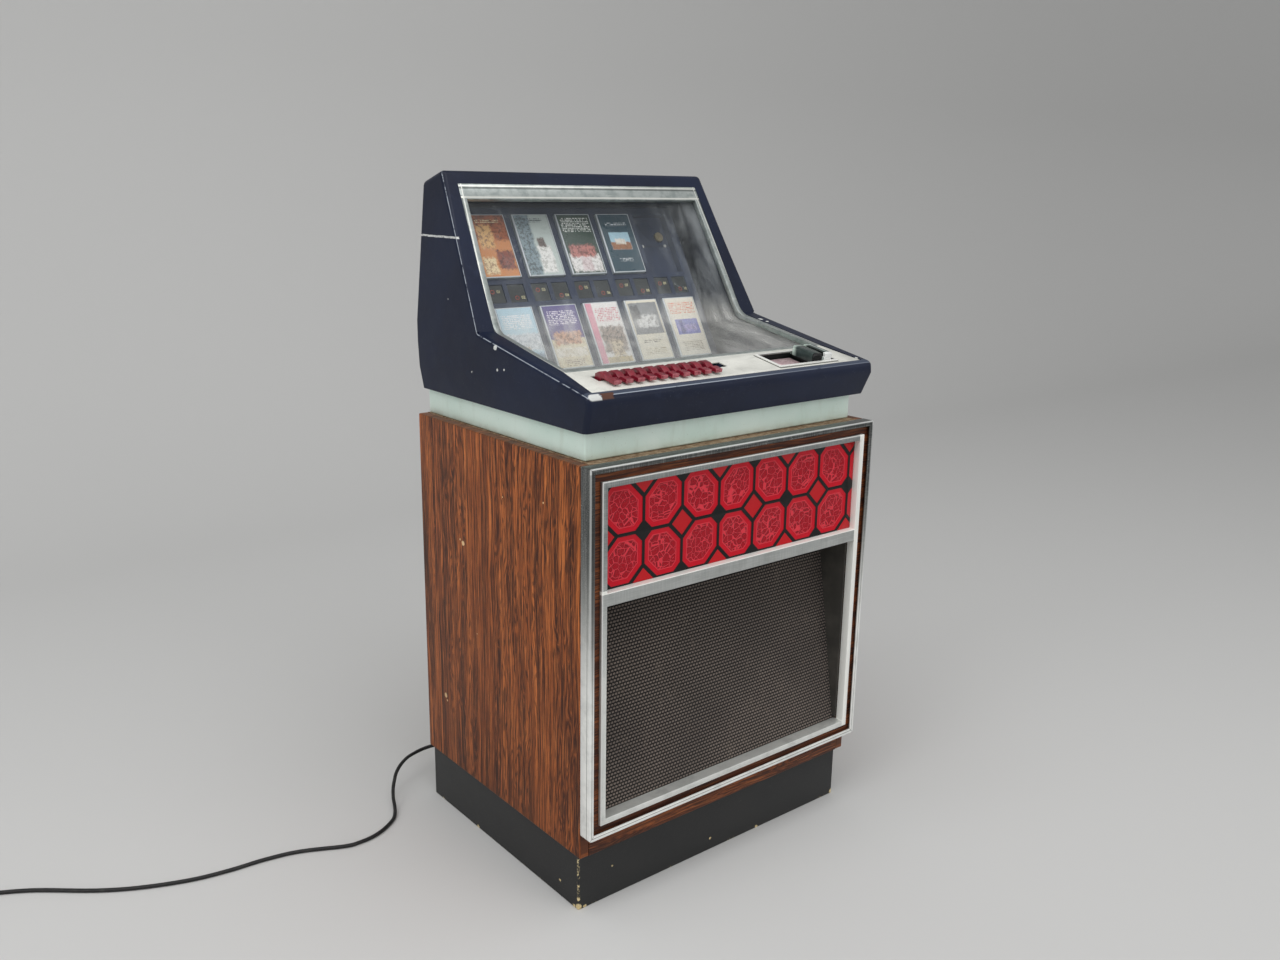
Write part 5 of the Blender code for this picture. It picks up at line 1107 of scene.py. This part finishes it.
def open_window(shape):
    """Cuts the bent opening through both slopes, following its corners from the lip to the top."""
    def slopes(low, high):
        return [face for face in shape.faces if face.normal.y < -0.1 and face.normal.z > 0.3
                and low < face.calc_center_median().z < high]

    def split(faces, place, outward):
        geom = list(dict.fromkeys(part for face in faces for part in (face, *face.edges, *face.verts)))
        bmesh.ops.bisect_plane(shape, geom=geom, dist=0.000001, plane_co=place, plane_no=outward)

    heights, halves = zip(*window_corners)
    for height in heights:
        wide = [face for face in slopes(0.0, 2.0) if face.calc_area() > smallest_wide_face]
        split(wide, (0.0, 0.0, height), (0.0, 0.0, 1.0))
    for (low, half_low), (high, half_high) in zip(window_corners, window_corners[1:]):
        for side in (-1, 1):
            outward = (side * (high - low), 0.0, half_low - half_high)
            split(slopes(low, high), (side * half_low, 0.0, low), outward)
    inside = []
    for face in slopes(heights[0], heights[-1]):
        centre = face.calc_center_median()
        step = max(i for i in range(3) if heights[i] < centre.z)
        share = (centre.z - heights[step]) / (heights[step + 1] - heights[step])
        if abs(centre.x) < halves[step] + (halves[step + 1] - halves[step]) * share:
            inside.append(face)
    bmesh.ops.delete(shape, geom=inside, context="FACES")


panel_start = 0.0108
panel_sink = 0.0012


def slope_matrix(origin, up, along, out):
    """A place on a slope: local X across, Y along the slope, Z out of it."""
    outward = Vector((0.0, -up.z, up.y))
    turn = Matrix((Vector((1.0, 0.0, 0.0)), up, outward)).transposed().to_4x4()
    return Matrix.Translation(Vector(origin) + up * along + outward * out) @ turn


def rack_matrix(x, v, out):
    up = Vector((0.0, math.sin(rack_lean), math.cos(rack_lean)))
    return slope_matrix((x, wood_front + rack_in, rack_foot_height), up, v, out)


def panel_matrix(x, s, out):
    up = Vector((0.0, math.cos(lower_slope), math.sin(lower_slope)))
    return slope_matrix((x, wood_front + lip_in, lip_height), up, panel_start + s, out - panel_sink)


def add_plate(shape, matrix, width, height, thickness, round_off):
    """A rounded plate standing on a place."""
    lifted = matrix @ Matrix.Translation((0.0, 0.0, thickness / 2))
    sized = lifted @ Matrix.Diagonal((width, height, thickness, 1.0))
    made = bmesh.ops.create_cube(shape, size=1.0, matrix=sized)
    normal = (matrix.to_3x3() @ Vector((0.0, 0.0, 1.0))).normalized()
    edges = dict.fromkeys(e for v in made["verts"] for e in v.link_edges)
    upright = [e for e in edges if abs((e.verts[0].co - e.verts[1].co).normalized().dot(normal)) > 0.99]
    round_over(shape, upright, round_off, 4)


floor_reach = 20.0
backdrop_in = 3.4
backdrop_height = 16.0
backdrop_bend = 1.6
stage_half = 30.0
lamp_aim = (0.0, 0.0, 0.5)


def set_stage():
    """A pale floor that sweeps up behind."""
    shape = bmesh.new()
    profile = ((-floor_reach, 0.0), (backdrop_in, 0.0), (backdrop_in, backdrop_height))
    start = [shape.verts.new((-stage_half, y, z)) for y, z in profile]
    edges = [shape.edges.new((a, b)) for a, b in zip(start, start[1:])]
    push_out(shape, bmesh.ops.extrude_edge_only(shape, edges=edges), 2 * stage_half)
    fold = [e for e in shape.edges if all(v.co.y > backdrop_in - 0.001 and v.co.z < 0.001 for v in e.verts)]
    round_over(shape, fold, backdrop_bend, 24)
    bmesh.ops.recalc_face_normals(shape, faces=shape.faces)
    finish = Finish("studio_paper", Specular_IOR_Level=0.1)
    finish.set(Base_Color=tone(206, 206, 205), Roughness=0.85)
    sweep = object_from(shape, "studio_sweep", finish)


def add_lamp(name, place, size, power):
    """A soft square lamp that looks at the middle of the cabinet."""
    data = bpy.data.lights.new(name, "AREA")
    data.shape = "RECTANGLE"
    data.size, data.size_y = size
    data.energy = power
    turn = (Vector(lamp_aim) - Vector(place)).to_track_quat("-Z", "Y").to_matrix().to_4x4()
    new_object(name, data).matrix_world = Matrix.Translation(place) @ turn


def light_stage():
    set_stage()
    add_lamp("overhead_softbox", (-0.6, -0.9, 3.2), (3.2, 2.6), 46.0)
    add_lamp("left_softbox", (-3.0, -0.4, 1.9), (2.2, 2.2), 26.0)
    add_lamp("front_softbox", (0.9, -3.4, 1.8), (2.4, 2.0), 20.0)
    world = bpy.data.worlds.new("studio_air")
    world.use_nodes = True
    air = world.node_tree.nodes["Background"]
    air.inputs["Color"].default_value = (1.0, 1.0, 1.0, 1.0)
    air.inputs["Strength"].default_value = 0.55
    bpy.context.scene.world = world
    bpy.context.scene.view_settings.view_transform = "Standard"


def dress_cabinet():
    sides, rail, raw = side_laminate(), rail_laminate(), chipboard()
    softened("side_panel_left", sides, 0.0008)
    softened("side_panel_right", sides, 0.0008)
    softened("front_rail", rail, 0.0006)
    softened("base_frame", base_paint(), 0.0015, 3)
    # Joined into whole faces, the frame's opening would be filled across
    softened("outer_frame", frame_metal(), 0.0009, 3, whole=False)
    softened("inner_frame", inner_metal(), 0.0006)
    softened("walnut_fascia", walnut_strip(), 0.0004)
    softened("light_panel", red_lattice(), 0.0003)
    paint(grille_weave(), "grille_cloth")
    paint(raw, "bottom_board", "top_board", "back_door")
    paint(moulded("dark_board", tone(56, 54, 50), tone(88, 84, 78), 0.7, 200.0), "speaker_baffle")
    paint(cone_paper(), "loudspeaker_left", "loudspeaker_right")
    paint(tube_glass(), "lamp_tube")
    paint(moulded("white_enamel", tone(226, 226, 220), tone(196, 194, 184), 0.4, 90.0), "lamp_reflector")
    softened("pedestal", mint_paint(), 0.0010, 3)
    steel = metal("zinc_steel", tone(168, 170, 170), 0.35, 0.9, 0.4)
    paint(steel, "amplifier", "cash_box", "coin_chute", "door_hinge", "door_hinge_leaf", "lid_hinge",
          "lid_hinge_leaf", "key_bracket", "player_unit")
    paint(metal("lock_brass", tone(196, 176, 128), 0.3), "door_lock")
    black = rubber()
    mains_lead.data.materials.append(black.material)
    softened("cord_gland", black, 0.0006)
    paint(black, "plug")


def dress_head():
    rounded_head(navy_shell())
    paint(clear_sheet(), "window")
    softened("window_trim", trim_metal(), 0.0006)
    softened("control_panel", panel_paint(), 0.0004)
    keys = key_plastic()
    for i in range(1, 11):
        softened("key_%02d" % i, keys, 0.0009, 3)
    softened("coin_bezel", bezel_chrome(), 0.0005)
    softened("coin_unit", coin_finish(), 0.0004)
    add_coin_label()


def bezel_chrome():
    """Chrome painted near white with little metal as a painted reflection, and a painted shade line where the
    frame drops to the tray.
    """
    f = Finish("bezel_chrome", Specular_IOR_Level=0.5)
    cloud = f.noise(46.0, 4.0, 0.6)
    inward = inward_from(f, "coin_bezel")
    # Painted reflection: near-white colour standing in for the chrome's bright mirror
    f.colour = f.blend(cloud * 0.3, tone(252, 252, 248), tone(204, 204, 200))
    # Painted shade where the frame drops to the tray
    f.lay(inward.rising(0.0032, 0.0042) * 0.75, 60, 60, 58)
    return f.set(Metallic=0.25, Roughness=cloud * 0.2 + 0.15)


bar_left = 0.1675
bar_grooves = (0.1925, 0.1790)
bar_sheens = (0.1865, 0.2010)
bar_right = 0.2092
bar_back_sheen = (-0.166, -0.158)
bar_front = -0.1985
glint_sides = (0.1895, 0.2085)
slot_right = 0.1860


def coin_finish():
    """Dark tray with the dull green double bar at its right, painted sheen lines along the bar, painted
    highlights at its far and near ends, and painted shade in its grooves.
    """
    f = Finish("coin_tray", Specular_IOR_Level=0.5)
    bar = (f.x > bar_left) * above_panel(f).rising(-0.004, -0.002)
    cloud = f.noise(120.0, 3.0, 0.6)
    f.colour = f.blend(cloud, tone(40, 50, 50), tone(78, 92, 88))
    groove = f.x.line(bar_grooves[0], 0.0016, 0.0008) | f.x.line(bar_grooves[1], 0.0014, 0.0006)
    # Painted shade in the grooves of the bar
    f.lay(groove * 0.8, 12, 14, 14)
    sheen = f.x.line(bar_sheens[0], 0.0022, 0.0008) | f.x.line(bar_sheens[1], 0.0022, 0.0008)
    f.lay(sheen * 0.80, 196, 208, 204)
    f.lay(f.y.rising(*bar_back_sheen), 206, 224, 214)
    # Painted highlight: a white glint at the near end of the right bar
    f.lay((f.y < bar_front) * (f.x > glint_sides[0]) * (f.x < glint_sides[1]), 244, 246, 244)
    f.lay(f.x > bar_right, 16, 17, 18)
    f.lay((f.y < bar_front) * (f.x < slot_right), 14, 15, 16)
    f.lay(1.0 - bar, 30, 32, 33)
    return f.set(Metallic=0.6 - bar * 0.3, Roughness=0.42 - bar * 0.2)


label_line = 0.0052
label_size = (0.066, 0.049, 0.0004)
label_place = (0.1315, 0.0365, -0.0078)


def add_coin_label():
    """The faded paper on the floor of the coin tray, with its lines of print rubbed out."""
    f = Finish("faded_label", Specular_IOR_Level=0.4)
    cloud = f.noise(90.0, 4.0, 0.7)
    f.colour = f.ramp(cloud, (0.3, 186, 156, 160), (0.7, 224, 200, 202))
    words = f.noise(420.0, 2.0, 0.6, stretch=(1.0, 0.1, 0.1)).rising(0.48, 0.56)
    print_lines = ((f.y / label_line) % 1.0).within(0.25, 0.65, 0.15) * words
    f.lay(print_lines * 0.45, 112, 84, 92)
    f.set(Roughness=0.5)
    shape = bmesh.new()
    add_plate(shape, panel_matrix(*label_place), *label_size, 0.001)
    piece_from(shape, "coin_label", f, "head", slot_of("coin_unit"))


def dress_rack():
    softened("rack_panel", rack_plastic(), 0.0005)
    paint(metal("cam_lock", tone(206, 190, 150), 0.3, 0.8), "rack_lock")
    for i, (name, ground, row, column, patches, ink) in enumerate(cassette_cards, 1):
        finish = card_finish(name, ground, patches, ink, row, column)
        softened("cassette_%02d" % i, finish, 0.0005)
    add_title_windows()


title_rise = 0.0255
title_side = 0.0195
title_size = (0.0296, 0.0296, 0.0012)
title_out = -0.0073
# Where each window's number and ring sit: up at the left window, down and to the right at the right one
mark_shifts = {-1: (0.0, 0.0040), 1: (0.0030, -0.0075)}
number_shift = 0.0064
ring_shift = 0.0048
print_out = -0.0060
ring_radius = 0.0036
bay_floor = -0.0172
screw_places = (0.143, 0.1935)
screw_radius = 0.0030
screw_height = 0.0016


def add_title_windows():
    """Ten small dark windows between the rows, each with its plain number and ring, and the two screws."""
    shape = bmesh.new()
    middle = case_height + title_rise
    glow = Finish("number_ink", Specular_IOR_Level=0.3)
    fade = glow.noise(160.0, 3.0, 0.6)
    glow.set(Base_Color=glow.blend(fade, tone(236, 228, 178), tone(196, 188, 150)), Roughness=0.5)
    ring = Finish("ring_ink", Specular_IOR_Level=0.3)
    fade = ring.noise(160.0, 3.0, 0.6)
    ring.set(Base_Color=ring.blend(fade, tone(186, 82, 62), tone(138, 62, 50)), Roughness=0.5)
    rings = bmesh.new()
    for column in range(5):
        for side in (-1, 1):
            x = (column - 2) * bay_pitch + side * title_side
            add_plate(shape, rack_matrix(x, middle, title_out), *title_size, 0.002)
            number = column * 2 + (3 + side) // 2
            mark_x, mark_v = x + mark_shifts[side][0], middle + mark_shifts[side][1]
            add_number(number, rack_matrix(mark_x + number_shift, mark_v, print_out), glow)
            add_ring(rings, rack_matrix(mark_x - ring_shift, mark_v, print_out), ring_radius)
    piece_from(rings, "number_rings", ring, "head", "rack_navy")
    f = moulded("title_window", tone(34, 38, 38), tone(58, 62, 60), 0.35, 60.0)
    f.set(Coat_Weight=0.5)
    ease_edges(piece_from(shape, "title_windows", f, "head", "rack_navy"), 0.0003)
    shape = bmesh.new()
    for x in screw_places:
        place = rack_matrix(x, seam_up, bay_floor + screw_height / 2)
        bmesh.ops.create_cone(shape, cap_ends=True, segments=24, radius1=screw_radius,
                              radius2=screw_radius * 0.82, depth=screw_height, matrix=place)
    screws = metal("white_screws", tone(226, 226, 222), 0.3, 0.6)
    ease_edges(piece_from(shape, "rack_screws", screws, "head", "grey_steel"), 0.0003)


def add_ring(shape, matrix, radius):
    """A thin flat printed ring."""
    made = bmesh.ops.create_circle(shape, cap_ends=True, segments=20, radius=radius, matrix=matrix)
    face = made["verts"][0].link_faces[0]
    bmesh.ops.inset_region(shape, faces=[face], thickness=radius * 0.28, depth=0.0, use_boundary=True)
    bmesh.ops.delete(shape, geom=[face], context="FACES")


number_height = 0.0070
ink_thickness = 0.00004


def add_number(number, matrix, finish):
    """A plain printed number, made a mesh before its place is applied."""
    text = bpy.data.curves.new("number_%02d" % number, "FONT")
    text.body = "%02d" % number
    text.size = number_height
    text.align_x = "CENTER"
    text.align_y = "CENTER"
    text.extrude = ink_thickness
    mesh = mesh_of(text)
    mesh.transform(matrix)
    mesh.materials.clear()
    mesh.materials.append(finish.material)
    piece = new_object("printed_number_%02d" % number, mesh)
    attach(piece, "head")


light_stage()
dress_cabinet()
dress_head()
dress_rack()
